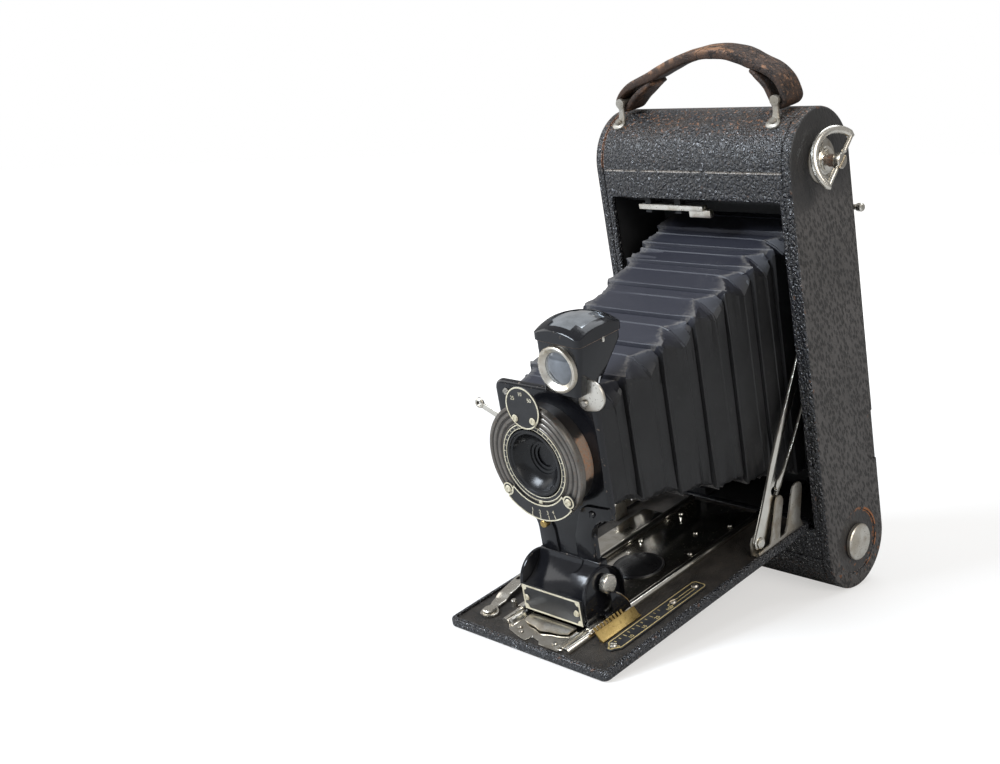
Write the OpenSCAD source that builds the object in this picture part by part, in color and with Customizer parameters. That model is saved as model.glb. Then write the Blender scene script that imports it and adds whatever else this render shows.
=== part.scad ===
// Folding roll-film camera, open and standing on its bed and foot.
// Body axes: x across, y from the front face to the back, z up the body.

/* [Body] */
// Width of the folding bed
bed_w = 84.6; // [80:0.2:90]
// Gap beside the bed in the front opening
bed_gap = 1.05; // [0.6:0.05:1.6]
// Thickness of the bay's side liners
liner_t = 2.65; // [2:0.05:4]
// Thickness of each side panel
panel_t = 4; // [3:0.5:5]
// Thickness of the front frame
front_t = 2.5; // [2:0.1:3.2]
// Thickness of the back cover and the end caps
shell_t = 1.8; // [1.2:0.1:2.4]
// Clear height of the bellows bay
bay_h = 136.8; // [130:0.2:150]
// Thickness of the walls between the bay and the film chambers
wall_t = 2; // [1.5:0.1:3]
// Step up of the bay's ceiling behind the front opening
lip_h = 3.6; // [2.5:0.1:4.5]
// Depth of that step
lip_d = 9.5; // [7:0.1:11]
// Angle where the back cover meets the end caps
cap_a = 70; // [60:1:75]

/* [Film] */
// Radius of the spool flanges
spool_r = 13; // [11:0.1:14]
// Length of a spool between its ends
spool_len = 70; // [64:0.5:74]
// Radius of the spool cores
core_r = 4.2; // [3.6:0.1:6]
// Room between a spool and the end caps
end_gap = 6.2; // [5:0.1:8]
// Room between a spool and the chamber wall
chamber_gap = 0.6; // [0.4:0.1:2]
// Width of the film gate
gate_w = 64; // [56:0.5:66]
// Height of the film gate
gate_h = 108; // [96:0.5:110]
// Thickness of the film gate
gate_t = 2; // [1.5:0.1:3]
// Room for the film between the gate and the back cover
film_gap = 5.2; // [5:0.1:7]
// Radius of the film rollers
roller_r = 2.3; // [2:0.1:2.6]

/* [Bed] */
// Reach of the bed in front of the body
bed_len = 133.8; // [130:0.2:142]
// Thickness of the bed
bed_t = 4; // [3.4:0.1:5]
// Depth of the bed's inner recess
bed_dish = 1; // [0.6:0.1:1.2]
// Distance from the middle to each rail
rail_x = 18.5; // [17.5:0.1:20]
// Width of a rail
rail_w = 3.6; // [3:0.1:4]
// Height of the rails above the bed's edge
rail_rise = 1.6; // [1.2:0.1:2.2]
// Radius of the domed tripod bush
dome_r = 11; // [9.5:0.1:12]
// Distance of the tripod bush in front of the body
dome_y = 64; // [56:0.5:70]
// Radius of the tripod screw sockets
tripod_r = 2.55; // [2.4:0.05:3]
// Width of a strut
strut_w = 6.4; // [5:0.1:7]
// Thickness of a strut
strut_t = 1.2; // [0.8:0.1:1.4]
// Height of the struts' upper pivots above the bed
strut_h = 73.4; // [66:0.2:80]
// Distance of the struts' lower pivots in front of the body
strut_y = 31.5; // [28:0.5:34]

/* [Standard] */
// Distance of the lens board in front of the body
extension = 101; // [96:0.5:104]
// Height of the lens over the bed
lens_rise = 67; // [64:0.5:70]
// Width of the lens board
board_w = 52.6; // [50:0.2:54]
// Depth of the lens board's turned-back edge
board_d = 8; // [6:0.1:9]
// Width of the board's neck
neck_w = 28.8; // [26:0.2:32]
// Width of the saddle between its cheeks
saddle_w = 32; // [31:0.2:33]
// Radius of the shutter case
case_r = 23.6; // [23.2:0.1:24.8]
// Thickness of the shutter case
case_t = 8.2; // [7.8:0.1:9]
// Radius of the light opening in the shutter's front
mouth_r = 14; // [13.4:0.1:14.4]
// Radius of the speed wheel
wheel_r = 6.4; // [5.5:0.1:6.6]
// Radius of the plate over the speed wheel
plate_r = 8.6; // [7.5:0.1:9]
// Width of the finder
finder_w = 21; // [19:0.2:22]
// Radius of the finder's lens ring
finder_ring_r = 9; // [8.2:0.1:9.4]
// Number of pleats in the bellows
pleats = 7; // [6:1:10]
// Depth of a pleat
pleat_d = 4; // [2.5:0.1:5]

/* [Fittings] */
// Height of the handle strap's arch
strap_rise = 19.1; // [14:0.1:24]
// Width of the handle strap
strap_w = 13; // [10:0.5:16]
// Thickness of the handle strap
strap_t = 3.6; // [3:0.1:4]
// Reach of the winding key's shaft beyond the panel
key_reach = 8.6; // [8:0.1:11]
// Outer radius of the key's bow
bow_r = 13.9; // [12:0.1:14.5]
// Length of the slot in the back cover
slot_w = 50; // [40:1:54]
// Height of the slot in the back cover
slot_h = 10; // [8:0.5:12]

/* [Hidden] */
$fn = 64;
// Running clearance of pins, shafts and sliding faces
fit = 0.3;
// Overlap of cuts beyond the faces they open
eps = 1;
end_r = spool_r + end_gap + shell_t;
body_d = 2 * end_r;
open_x = bed_w / 2 + bed_gap;
half_in = open_x + liner_t;
half_w = half_in + panel_t;
bed_bot = end_r + spool_r + chamber_gap;
bed_top = bed_bot + bed_t;
bed_floor = bed_top - bed_dish;
bay_floor = bed_bot + wall_t;
bay_top = bay_floor + bay_h;
seam_z = bay_top + wall_t + chamber_gap + spool_r;
body_h = seam_z + end_r;
open_top = bay_top + lip_h;
gate_y = body_d - shell_t - film_gap - gate_t;
cover_x = half_in - fit;
rail_top = bed_top + rail_rise;
lens_z = bed_top + lens_rise;
// The open camera leans until the bed's front edge and the foot touch the table
lean = asin(end_r / norm([end_r + bed_len, end_r - bed_bot])) - atan2(end_r - bed_bot, end_r + bed_len);
// Hinge of the bed, level with the bay's floor
hinge_r = 1.8;
hinge_y = 2;
// Front edge of the bay's floor, behind the hinge
floor_y = hinge_y + hinge_r + 0.4;
track_t = 0.6;
rail_front = -bed_len + 4.5;
rail_back = -3;
dome_h = rail_top + 1.2 - bed_floor - track_t;
stem_r = 7.5;
socket_depth = 5.6;
// Strut plane and its pivots
strut_x = open_x - 5.4;
bracket_x = strut_x + strut_t + 0.9;
bracket_t = 0.9;
foot_z = bed_top + 4;
top_z = bed_top + strut_h;
top_y = 11.6;
strut_a = atan2(top_z - foot_z, top_y + strut_y);
strut_l = norm([top_z - foot_z, top_y + strut_y]);
pivot_r = 1.7;
// Lens board, measured from the lens axis and the board's front face
sheet_t = 1.4;
tray_t = 1.2;
board_x = board_w / 2;
board_top = 27;
board_low = -24;
shoulder_r = board_x - neck_w / 2 - 0.9;
neck_low = rail_top + 21.8 - lens_z;
saddle_low = 1.8;
saddle_top = 21.8;
saddle_front = -13;
saddle_back = 8;
cheek_r = (saddle_back - saddle_front) / 2;
cheek_t = 1.2;
saddle_x = saddle_w / 2;
shoe_x = rail_x + rail_w / 2 + 1.5;
lip_x = rail_x - rail_w / 2 - 0.5;
neck_screw = 11;
name_w = saddle_w - 1.6;
name_h = 9.4;
name_t = 1.2;
name_screw = name_w / 2 - 2.6;
grip_y = -1.6;
grip_z = 14.4;
grip_r = 3.9;
grip_l = 2.8;
grip_in = 1.2;
stem_bore = 1.5;
// Shutter, in front of the board
barrel_r = 16.2;
cell_r = 12;
bezel_r = mouth_r + 2.2;
bezel_y = -case_t - 2.1;
drum_r = case_r - 2.7;
rim_t = 1.2;
rim_h = 1.7;
tip_r = 4.2;
plate_y = bezel_y - 0.1;
wheel_z = bezel_r + fit + wheel_r;
blade_arm = 16.4;
lever_a = 146;
lever_r = 19.6;
lever_len = 13.4;
iris_in = bezel_r + 0.6;
iris_out = iris_in + 2.4;
scale_in = 17;
scale_out = 23.3;
// Finder, from the lens axis and the board's front face
finder_x0 = 6.5;
finder_x = finder_x0 + finder_w / 2;
finder_low = 28.9;
finder_high = 47.4;
finder_front = -6;
finder_foot = 7.5;
finder_back = 17;
finder_wall = 1.1;
finder_z = finder_low + finder_ring_r + 0.2;
cap_wall = 3.6;
cap_rise = 5.2;
swing_x = board_x - 3.1;
swing_z = board_top - 2.5;
swing_r = 7.6;
swing_out = [4, 4.8];
swing_t = 1.2;
swing_pin = 1.5;
ear_r = 3;
ear_y = -4;
// Bellows, from the film gate to the back of the lens board
bellows_t = 1;
bellows_front = -extension + sheet_t;
bellows_w = [gate_w / 2 + 5, board_x - tray_t - 2.6];
bellows_h = [gate_h / 2 + 5, board_x - tray_t - 2.6];
bellows_z = [lens_z, lens_z + (board_top + board_low) / 2];
// Spool ends and rollers
stud_r = 2.3;
bore_r = stud_r + fit;
bore_len = 6;
spool_x = spool_len / 2;
journal_r = 1.2;
roller_y = gate_y + gate_t - 1;
roller_z = [bed_bot - 0.5 - roller_r, bay_top + wall_t + 0.5 + roller_r];
shaft_r = 3;
pin_head_r = 8;
pin_recess_r = 14;
pin_recess = 0.8;
// Winding key's bow
bow_x = half_w + key_reach;
bow_w = 3.2;
bow_t = 2.2;
bow_fold = 112;
key_turn = -50;
escutcheon_r = 9;
// Autographic door on the back cover
slot_x = 14;
slot_z = bay_top - 10.4;
door_t = 1.2;
door_x = slot_w / 2 + 4;
door_z = slot_h / 2 + 3.6;
door_gap = 0.3;
hinge_pin = 0.7;
barrel_out = 1.2;
stylus_r = 1.2;
stylus_tip = half_w + 1.6;
window_z = bed_bot + 34;
window_r = 5;
// Handle
handle_x = -2.5;
tab_x = half_in - 5.5;
tab_w = 8;
tab_t = 1.2;
tab_a = 124;
strap_y = end_r - 2;
strap_z = body_h + 5;
strap_end = 3.3;
loop_r = 1.3;
// Latch of the closed bed, under the lip
latch_y = 5.5;
latch_z = open_top - 4.6;
latch_r = 1.2;
latch_x = [-31, 3];
lug_x = [-28, -12];
lug_w = 3;
// Distance scale, comb and lever on the bed
scale_x = 32;
scale_w = 7;
scale_far = -bed_len + 13.8;
scale_near = scale_far + 57;
scale_t = 0.8;
comb_x = rail_x + rail_w / 2 + 4.7;
comb_w = 2.8;
lever_pivot = [-30, -bed_len + 11.8];
lever_end = [-36.4, lever_pivot[1] + 27];
bar_w = 5;
bar_t = 1;
rivet_r = 1.4;
bracket_h = 20.2;
catch_front = rail_front + 5.3;
bracket_foot = 8;
// Door plane and its hinge
door_y = body_d + door_gap;
hinge_z = slot_z - door_z - barrel_out - 0.1;
hinge_back = door_y + barrel_out;

// Placing

module stand() {
    translate([0, 0, end_r]) rotate([lean, 0, 0]) translate([0, -end_r, -end_r]) children();
}

module on_board() {
    stand() translate([0, -extension, lens_z]) children();
}

module on_rails() {
    stand() translate([0, -extension, rail_top]) children();
}

module both_sides() {
    children();
    mirror([1, 0, 0]) children();
}

// Shapes

module slab(x, y, z) {
    translate([x[0], y[0], z[0]]) cube([x[1] - x[0], y[1] - y[0], z[1] - z[0]]);
}

module across_x(x0, x1) {
    translate([x0, 0, 0]) rotate([90, 0, 90]) linear_extrude(x1 - x0) children();
}

module across_y(y0, y1) {
    translate([0, y1, 0]) rotate([90, 0, 0]) linear_extrude(y1 - y0) children();
}

module rod_x(r, x0, x1) {
    translate([x0, 0, 0]) rotate([0, 90, 0]) cylinder(r = r, h = x1 - x0);
}

module rod_y(r, y0, y1) {
    translate([0, y1, 0]) rotate([90, 0, 0]) cylinder(r = r, h = y1 - y0);
}

module rod_z(r, z0, z1) {
    translate([0, 0, z0]) cylinder(r = r, h = z1 - z0);
}

module tube_y(r_in, r_out, y0, y1) {
    difference() {
        rod_y(r_out, y0, y1);
        rod_y(r_in, y0 - eps, y1 + eps);
    }
}

module rounded(x0, x1, y0, y1, r) {
    translate([x0 + r, y0]) square([x1 - x0 - 2 * r, y1 - y0]);
    translate([x0, y0 + r]) square([x1 - x0, y1 - y0 - 2 * r]);
    for (x = [x0 + r, x1 - r], y = [y0 + r, y1 - r]) translate([x, y]) circle(r);
}

module bar2d(length, width) {
    translate([0, -width / 2]) square([length, width]);
    circle(width / 2);
    translate([length, 0]) circle(width / 2);
}

module sector2d(r_in, r_out, a0, a1) {
    far = 2 * r_out;
    intersection() {
        difference() {
            circle(r_out);
            circle(r_in);
        }
        polygon(concat([[0, 0]],
            [for (i = [0 : 4]) let (a = a0 + (a1 - a0) * i / 4) far * [cos(a), sin(a)]]));
    }
}

module stadium2d() {
    translate([0, end_r]) square([body_d, body_h - body_d]);
    for (z = [end_r, seam_z]) translate([end_r, z]) circle(end_r);
}

// A ring turned about Y from points given as radius and depth
module turned(points) {
    rotate([-90, 0, 0]) rotate_extrude() polygon(points);
}

// Slotted screw head
module screw_head(r, h) {
    difference() {
        cylinder(r = r, h = h);
        translate([-r - eps, -r / 6, h * 0.6]) cube([2 * r + 2 * eps, r / 3, h]);
    }
}

// Case

module panel_holes() {
    for (z = roller_z) translate([0, roller_y, z])
        rod_x(journal_r + fit, half_in - eps, half_in + panel_t / 2);
}

module side_panel_left() {
    color("#26262a") stand() difference() {
        across_x(-half_w, -half_in) stadium2d();
        mirror([1, 0, 0]) panel_holes();
        translate([0, end_r, body_h / 2]) rod_x(stem_r, -half_w - eps, -half_in + eps);
    }
}

module side_panel_right() {
    color("#26262a") stand() difference() {
        across_x(half_in, half_w) stadium2d();
        panel_holes();
        translate([0, end_r, seam_z]) rod_x(shaft_r + fit, half_in - eps, half_w + eps);
        translate([0, end_r, end_r]) {
            rod_x(core_r + fit, half_in - eps, half_w + eps);
            rod_x(pin_recess_r, half_w - pin_recess, half_w + eps);
        }
    }
}

module front_frame() {
    color("#242429") stand() difference() {
        slab([-half_in, half_in], [0, front_t], [end_r, seam_z]);
        slab([-open_x, open_x], [-eps, front_t + eps], [bed_bot - 0.2, open_top]);
    }
}

module latch_lugs() {
    for (x = lug_x) slab([x, x + lug_w], [latch_y - 1.7, latch_y + 1.7], [latch_z - 2.6, open_top + eps]);
}

module bay_box() {
    color("#18181a") stand() {
        difference() {
            union() {
                difference() {
                    union() {
                        slab([-half_in, half_in], [front_t, gate_y], [bed_bot, bay_top + wall_t]);
                        slab([-half_in, half_in], [front_t, lip_d + wall_t], [bay_top, open_top + wall_t]);
                    }
                    slab([-open_x, open_x], [front_t - eps, gate_y + eps], [bay_floor, bay_top]);
                    slab([-open_x, open_x], [front_t - eps, lip_d], [bay_floor, open_top]);
                    slab([-open_x, open_x], [front_t - eps, floor_y], [bed_bot - eps, bay_floor + eps]);
                }
                latch_lugs();
                both_sides() translate([rail_x, 0, 0])
                    slab([-rail_w / 2, rail_w / 2], [floor_y, gate_y - 3], [bay_floor - eps, rail_top]);
            }
            translate([0, latch_y, latch_z]) rod_x(latch_r + fit, latch_x[0] - eps, latch_x[1]);
            translate([0, end_r, body_h / 2]) rod_x(stem_r, -half_in - eps, -open_x + eps);
        }
    }
}

module film_gate() {
    color("#1b1b1d") stand() difference() {
        slab([-half_in, half_in], [gate_y, gate_y + gate_t], [bed_bot, bay_top + wall_t]);
        slab([-gate_w / 2, gate_w / 2], [gate_y - eps, gate_y + gate_t + eps],
            [lens_z - gate_h / 2, lens_z + gate_h / 2]);
    }
}

module top_end_cap() {
    color("#2a292c") stand() across_x(-half_in, half_in) translate([end_r, seam_z])
        sector2d(end_r - shell_t, end_r, cap_a, 180);
}

module bottom_end_cap() {
    color("#2a292c") stand() across_x(-half_in, half_in) translate([end_r, end_r])
        sector2d(end_r - shell_t, end_r, 180, 360 - cap_a);
}

module spool_studs() {
    color("silver") stand() for (z = [end_r, seam_z]) translate([0, end_r, z]) {
        rod_x(core_r + 0.8, -half_in, -spool_x - 0.6);
        rod_x(stud_r, -spool_x - 0.7, -spool_x + bore_len - 0.6);
    }
}

module side_tripod_bush() {
    color("silver") stand() translate([0, end_r, body_h / 2]) difference() {
        rod_x(stem_r, -half_w, -open_x - 0.2);
        rod_x(tripod_r, -half_w - eps, -half_w + socket_depth);
    }
}

// Handle

module handle_tabs() {
    color("silver") stand() translate([handle_x, 0, 0]) both_sides() {
        translate([0, end_r, seam_z]) {
            across_x(tab_x - tab_w / 2, tab_x + tab_w / 2)
                sector2d(end_r, end_r + tab_t, tab_a - 12, tab_a);
            across_x(tab_x - tab_w / 4, tab_x + tab_w / 4)
                sector2d(end_r, end_r + tab_t, 96, tab_a - 11);
            rotate([tab_a - 96, 0, 0]) translate([tab_x, 0, end_r + tab_t]) cylinder(r = 1.8, h = 0.8);
        }
        slab([tab_x - tab_w / 4, tab_x + tab_w / 4],
            [strap_y - strap_w / 2 - 1.6, strap_y - strap_w / 2 - 0.4],
            [seam_z + end_r - 1.4, strap_z + loop_r]);
        translate([tab_x, 0, strap_z]) rod_y(loop_r, strap_y - strap_w / 2 - 1, strap_y + strap_w / 2 + 0.4);
    }
}

// Middle line of the strap: a lopsided arch between the two loops
function strap_mid(u) = [tab_x * (2 * u - 1), strap_z + strap_rise * pow(sin(180 * pow(u, 1.2)), 0.8)];
function strap_edge(u, side) =
    let (d = strap_mid(min(u + 0.01, 1)) - strap_mid(max(u - 0.01, 0)))
    strap_mid(u) + side * strap_t / 2 * [-d[1], d[0]] / norm(d);

module handle_strap() {
    steps = 28;
    color("#4a3226") stand() translate([handle_x, 0, 0]) difference() {
        union() {
            across_y(strap_y - strap_w / 2, strap_y + strap_w / 2)
                polygon(concat([for (i = [0 : steps]) strap_edge(i / steps, 1)],
                    [for (i = [steps : -1 : 0]) strap_edge(i / steps, -1)]));
            both_sides() translate([tab_x, 0, strap_z])
                rod_y(strap_end, strap_y - strap_w / 2 + 0.4, strap_y + strap_w / 2 - 0.4);
        }
        both_sides() translate([tab_x, 0, strap_z])
            rod_y(loop_r + fit, strap_y - strap_w, strap_y + strap_w);
    }
}

// Bed

module bed_board() {
    rim = 2.2;
    color("#232326") stand() difference() {
        slab([-bed_w / 2, bed_w / 2], [-bed_len, -fit], [bed_bot, bed_top]);
        slab([rim - bed_w / 2, bed_w / 2 - rim], [rim - bed_len, eps], [bed_floor, bed_top + eps]);
        translate([0, -dome_y, 0]) rod_z(stem_r + fit, bed_bot - eps, bed_top);
    }
}

module bed_hinge() {
    knuckles = 5;
    pitch = 2 * (open_x - 3) / knuckles;
    color("silver") stand() translate([0, hinge_y, bay_floor]) {
        for (i = [0 : knuckles - 1]) translate([-open_x + 3 + i * pitch, 0, 0]) difference() {
            rod_x(hinge_r, 0, pitch - fit);
            rod_x(0.8 + fit, -eps, pitch + eps);
        }
        rod_x(0.8, -open_x + 2.5, open_x - 2.5);
    }
}

module bed_track() {
    color("silver") stand() difference() {
        union() {
            slab([-rail_x, rail_x], [rail_front + 2, rail_back], [bed_floor, bed_floor + track_t]);
            both_sides() translate([rail_x, 0, 0]) {
                slab([-rail_w / 2, rail_w / 2], [rail_front, rail_back], [bed_floor, rail_top - rail_w / 2]);
                translate([0, 0, rail_top - rail_w / 2]) rod_y(rail_w / 2, rail_front, rail_back);
            }
        }
        translate([0, -dome_y, 0]) rod_z(stem_r + fit, bed_floor - eps, rail_top);
        slab([-half_in, half_in], [-bed_len, 0], [bed_bot, bed_floor]);
    }
}

module tripod_bush() {
    ball = (dome_r * dome_r + dome_h * dome_h) / (2 * dome_h);
    base = bed_floor + track_t;
    color("#1a1a1c") stand() translate([0, -dome_y, 0]) difference() {
        union() {
            rod_z(stem_r, bed_bot, base + 0.1);
            intersection() {
                translate([0, 0, base + dome_h - ball]) sphere(ball, $fn = 48);
                rod_z(dome_r, base, base + dome_h + eps);
            }
        }
        rod_z(tripod_r, bed_bot - eps, bed_bot + socket_depth);
    }
}

module scale_plate() {
    color("#1d1c1a") stand() translate([0, 0, bed_floor]) linear_extrude(scale_t)
        rounded(scale_x - scale_w / 2, scale_x + scale_w / 2, scale_far, scale_near, 1.5);
}

module focus_comb() {
    teeth = 11;
    pitch = 2.1;
    front = -extension - 15.5;
    color("#b08d45") stand() translate([comb_x, front, bed_floor]) {
        slab([-comb_w / 2, comb_w / 2], [0, teeth * pitch], [0, 1]);
        for (i = [0 : teeth - 1]) slab([-comb_w / 2, comb_w / 2], [i * pitch, i * pitch + 1.2], [0.9, 2]);
    }
}

module bed_screws() {
    color("silver") stand() {
        for (y = [scale_far + 3, scale_near - 18, scale_near - 4])
            translate([scale_x, y, bed_floor + scale_t]) screw_head(1.5, 0.7);
        translate([lever_pivot[0], lever_pivot[1], bed_floor]) {
            cylinder(r = rivet_r, h = bar_t + 0.8);
            translate([0, 0, bar_t + 0.8]) screw_head(rivet_r + 1.2, 0.8);
        }
    }
}

module focus_lever() {
    reach = lever_end - lever_pivot;
    color("silver") stand() translate([lever_pivot[0], lever_pivot[1], bed_floor + 0.4])
        rotate([0, 0, atan2(reach[1], reach[0])]) difference() {
            union() {
                linear_extrude(bar_t) bar2d(norm(reach), bar_w);
                translate([norm(reach), 0, 0]) cylinder(r = bar_w / 2, h = 3 * bar_t);
            }
            translate([0, 0, -eps]) cylinder(r = rivet_r + fit, h = bar_t + 3 * eps);
        }
}

module track_catch() {
    color("silver") stand() translate([0, catch_front, bed_floor + track_t + 0.6])
        linear_extrude(0.8) difference() {
            rounded(-12, 12, 0, 9, 2);
            for (x = [-8, 8]) translate([x, -1]) circle(4);
        }
}

module strut() {
    color("silver") stand() difference() {
        translate([0, -strut_y, foot_z]) union() {
            across_x(strut_x, strut_x + strut_t) rotate(strut_a) bar2d(strut_l, strut_w);
            rod_x(pivot_r, strut_x - 0.8, bracket_x);
            translate([0, top_y + strut_y, top_z - foot_z]) rod_x(pivot_r, strut_x - 0.8, open_x);
        }
        translate([0, -strut_y, foot_z]) across_x(strut_x - eps, strut_x + strut_t + eps)
            rotate(strut_a) translate([16, 0]) bar2d(7, 1.8);
    }
}

module strut_right() {
    strut();
}

module strut_left() {
    mirror([1, 0, 0]) strut();
}

module strut_brackets() {
    color("silver") stand() both_sides() across_x(bracket_x, bracket_x + bracket_t) translate([0, bed_top])
        polygon([[-strut_y - bracket_foot / 2, 0], [-4, 0], [-5.2, 4], [-1.6, bracket_h - 3.4],
            [-2.8, bracket_h - 1], [-6.8, bracket_h], [-8.6, bracket_h - 1], [-14.6, 5.4], [-19.6, 4.4],
            [-15.4, bracket_h - 3.4], [-16.2, bracket_h - 1.2], [-18.6, bracket_h - 0.4],
            [-20.4, bracket_h - 1.4], [-26, 5.4], [3 - strut_y, bracket_foot - 0.6],
            [2 - strut_y - bracket_foot / 2, bracket_foot], [-strut_y - bracket_foot / 2, bracket_foot - 2]]);
}

module bed_latch() {
    color("silver") stand() translate([0, latch_y, latch_z]) {
        rod_x(latch_r, latch_x[0], latch_x[1]);
        slab([latch_x[1] - 8, latch_x[1] + 3], [-latch_r - 0.4, latch_r], [-latch_r - 2.8, 0.4 - latch_r]);
    }
}

// Bellows: rings of ridges and valleys that narrow from the film gate to the lens board

function bellows_half(i, last) = let (t = i / last, fold = i % 2 == 1 ? pleat_d : 0)
    [bellows_w[0] + (bellows_w[1] - bellows_w[0]) * t - fold,
     bellows_h[0] + (bellows_h[1] - bellows_h[0]) * t - fold];

function bellows_ring(i, last, inset) = let (
        s = bellows_half(i, last) - [inset, inset],
        c = 2.5,
        y = gate_y + (bellows_front - gate_y) * i / last,
        z = bellows_z[0] + (bellows_z[1] - bellows_z[0]) * i / last,
        a = s[0],
        b = s[1],
        outline = [[a - c, -b], [a, c - b], [a, b - c], [a - c, b],
            [c - a, b], [-a, b - c], [-a, c - b], [c - a, -b]])
    [for (p = outline) [p[0], y, z + p[1]]];

module bellows() {
    last = 2 * pleats;
    count = 8;
    half = (last + 1) * count;
    points = concat([for (i = [0 : last]) each bellows_ring(i, last, 0)],
        [for (i = [0 : last]) each bellows_ring(i, last, bellows_t)]);
    function at(i, k) = i * count + k % count;
    wall = [for (i = [0 : last - 1], k = [0 : count - 1]) each [
        [at(i, k), at(i + 1, k), at(i + 1, k + 1)], [at(i, k), at(i + 1, k + 1), at(i, k + 1)]]];
    lining = [for (f = wall) [half + f[0], half + f[2], half + f[1]]];
    rims = [for (k = [0 : count - 1]) each [
        [at(0, k), at(0, k + 1), half + at(0, k + 1)], [at(0, k), half + at(0, k + 1), half + at(0, k)],
        [at(last, k), half + at(last, k + 1), at(last, k + 1)],
        [at(last, k), half + at(last, k), half + at(last, k + 1)]]];
    color("#202024") stand() polyhedron(points, concat(wall, lining, rims));
}

// Standard

module standard_base() {
    color("#141416") on_rails() difference() {
        union() {
            both_sides() {
                slab([saddle_x - eps, shoe_x], [saddle_front, saddle_back + 2], [0.4, saddle_low]);
                slab([lip_x - 1.4, lip_x], [saddle_front, saddle_back + 2], [-1.2, saddle_low]);
                across_x(saddle_x, saddle_x + cheek_t) {
                    translate([saddle_front + cheek_r, cheek_r]) circle(cheek_r);
                    translate([saddle_front, 0.4]) square([2 * cheek_r, cheek_r - 0.4]);
                }
            }
            across_x(-saddle_x, saddle_x) difference() {
                translate([saddle_front, saddle_low]) square([17, saddle_top - saddle_low]);
                translate([saddle_front - 2, saddle_top + 4]) circle(15);
            }
        }
        both_sides() translate([0, grip_y, grip_z]) rod_x(stem_bore, saddle_x - 6, saddle_x + cheek_t + eps);
    }
}

module name_plate() {
    color("#171717") on_rails() across_y(saddle_front - name_t, saddle_front) difference() {
        translate([-name_w / 2, saddle_low + 0.1]) square([name_w, name_h]);
        for (x = [-name_w / 2, name_w / 2], z = [0, name_h]) translate([x, saddle_low + 0.1 + z]) circle(1.6);
    }
}

module focus_pointer() {
    color("silver") on_rails() {
        slab([saddle_x + cheek_t, comb_x + 1], [-6, -4], [2.4, 3.4]);
        slab([comb_x - 1, comb_x + 1], [-6, -4], [0.4, 2.5]);
    }
}

module grip(side) {
    x0 = saddle_x + cheek_t + grip_in;
    knurls = 24;
    color("silver") on_rails() translate([0, grip_y, grip_z]) mirror([side < 0 ? 1 : 0, 0, 0]) difference() {
        union() {
            rod_x(stem_bore - fit, saddle_x - 4, x0 + 0.1);
            rod_x(grip_r, x0, x0 + grip_l);
        }
        for (i = [0 : knurls - 1]) rotate([i * 360 / knurls, 0, 0]) translate([x0 + 0.6, 0, grip_r])
            rotate([45, 0, 0]) translate([0, -0.3, -0.3]) cube([grip_l, 0.6, 0.6]);
    }
}

module grip_right() {
    grip(1);
}

module grip_left() {
    grip(-1);
}

module board2d() {
    rounded(-board_x, board_x, board_low, board_top, 4);
    translate([-neck_w / 2, neck_low]) square([neck_w, board_low - neck_low + 6]);
    both_sides() difference() {
        translate([neck_w / 2 - eps, board_low - shoulder_r]) square([shoulder_r + eps, shoulder_r + 6]);
        translate([neck_w / 2 + shoulder_r, board_low - shoulder_r]) circle(shoulder_r);
    }
}

module lens_board() {
    color("#121214") on_board() difference() {
        union() {
            across_y(0, sheet_t) board2d();
            across_y(0, board_d) difference() {
                rounded(-board_x, board_x, board_low, board_top, 4);
                rounded(tray_t - board_x, board_x - tray_t, board_low + tray_t, board_top - tray_t, 3);
            }
            slab([-3.8, 3.8], [-1.2, 0.2], [neck_low + 4, board_low - 2]);
        }
        rod_y(barrel_r + fit, -eps, sheet_t + eps);
    }
}

// Raised rim of the shutter's front, open where the wheel, lever and pointer pass
module shutter_rim() {
    wheel_gap = asin((wheel_r + 0.8) / (case_r - rim_t));
    difference() {
        tube_y(case_r - rim_t, case_r, -case_t - rim_h, 0.1 - case_t);
        across_y(-case_t - rim_h - eps, -case_t) {
            sector2d(case_r - 2 * rim_t, case_r + rim_t, 90 - wheel_gap, 90 + wheel_gap);
            sector2d(case_r - 2 * rim_t, case_r + rim_t, lever_a - 14, lever_a + 14);
            sector2d(case_r - 2 * rim_t, case_r + rim_t, 236, 304);
        }
    }
}

module shutter_case() {
    back = -1.2;
    seat = 0.6;
    color("#5d5852") on_board() {
        difference() {
            union() {
                rod_y(drum_r, 1.3 - case_t, 0);
                rod_y(case_r, -case_t, 1.4 - case_t);
                rod_y(barrel_r, -0.1, 4);
                shutter_rim();
            }
            rod_y(cell_r, -3, 5);
            rod_y(mouth_r, -case_t - eps, -4);
            rod_y(drum_r - 1.2, 1.2 - case_t, back);
        }
        translate([0, 0, blade_arm]) rod_y(1, -3.4, back + seat);
        rotate([0, -lever_a, 0]) translate([lever_r, 0, 0]) rod_y(1.2, -case_t - 2, seat - case_t);
        translate([0, 0, wheel_z]) rod_y(1.8, plate_y, seat - case_t);
        for (a = [-42, 42]) rotate([0, a, 0]) translate([0, 0, -21.6]) rod_y(1.2, plate_y, seat - case_t);
    }
}

module bezel_ring() {
    color("#151515") on_board() tube_y(mouth_r + 0.1, bezel_r, bezel_y, -case_t);
}

module lens_funnel() {
    lip = mouth_r - fit;
    color("#0d0d0f") on_board() turned([[lip - 1, bezel_y - 0.2], [lip, bezel_y - 0.2], [lip, -case_t],
        [tip_r + 1, -3.7], [tip_r, -3.7], [tip_r, -4.6]]);
}

module shutter_plates() {
    color("#191817") on_board() {
        translate([0, 0, wheel_z]) rod_y(plate_r, plate_y - 0.9, plate_y);
        across_y(plate_y - 0.9, plate_y) sector2d(scale_in, scale_out, 222, 318);
    }
}

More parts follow.
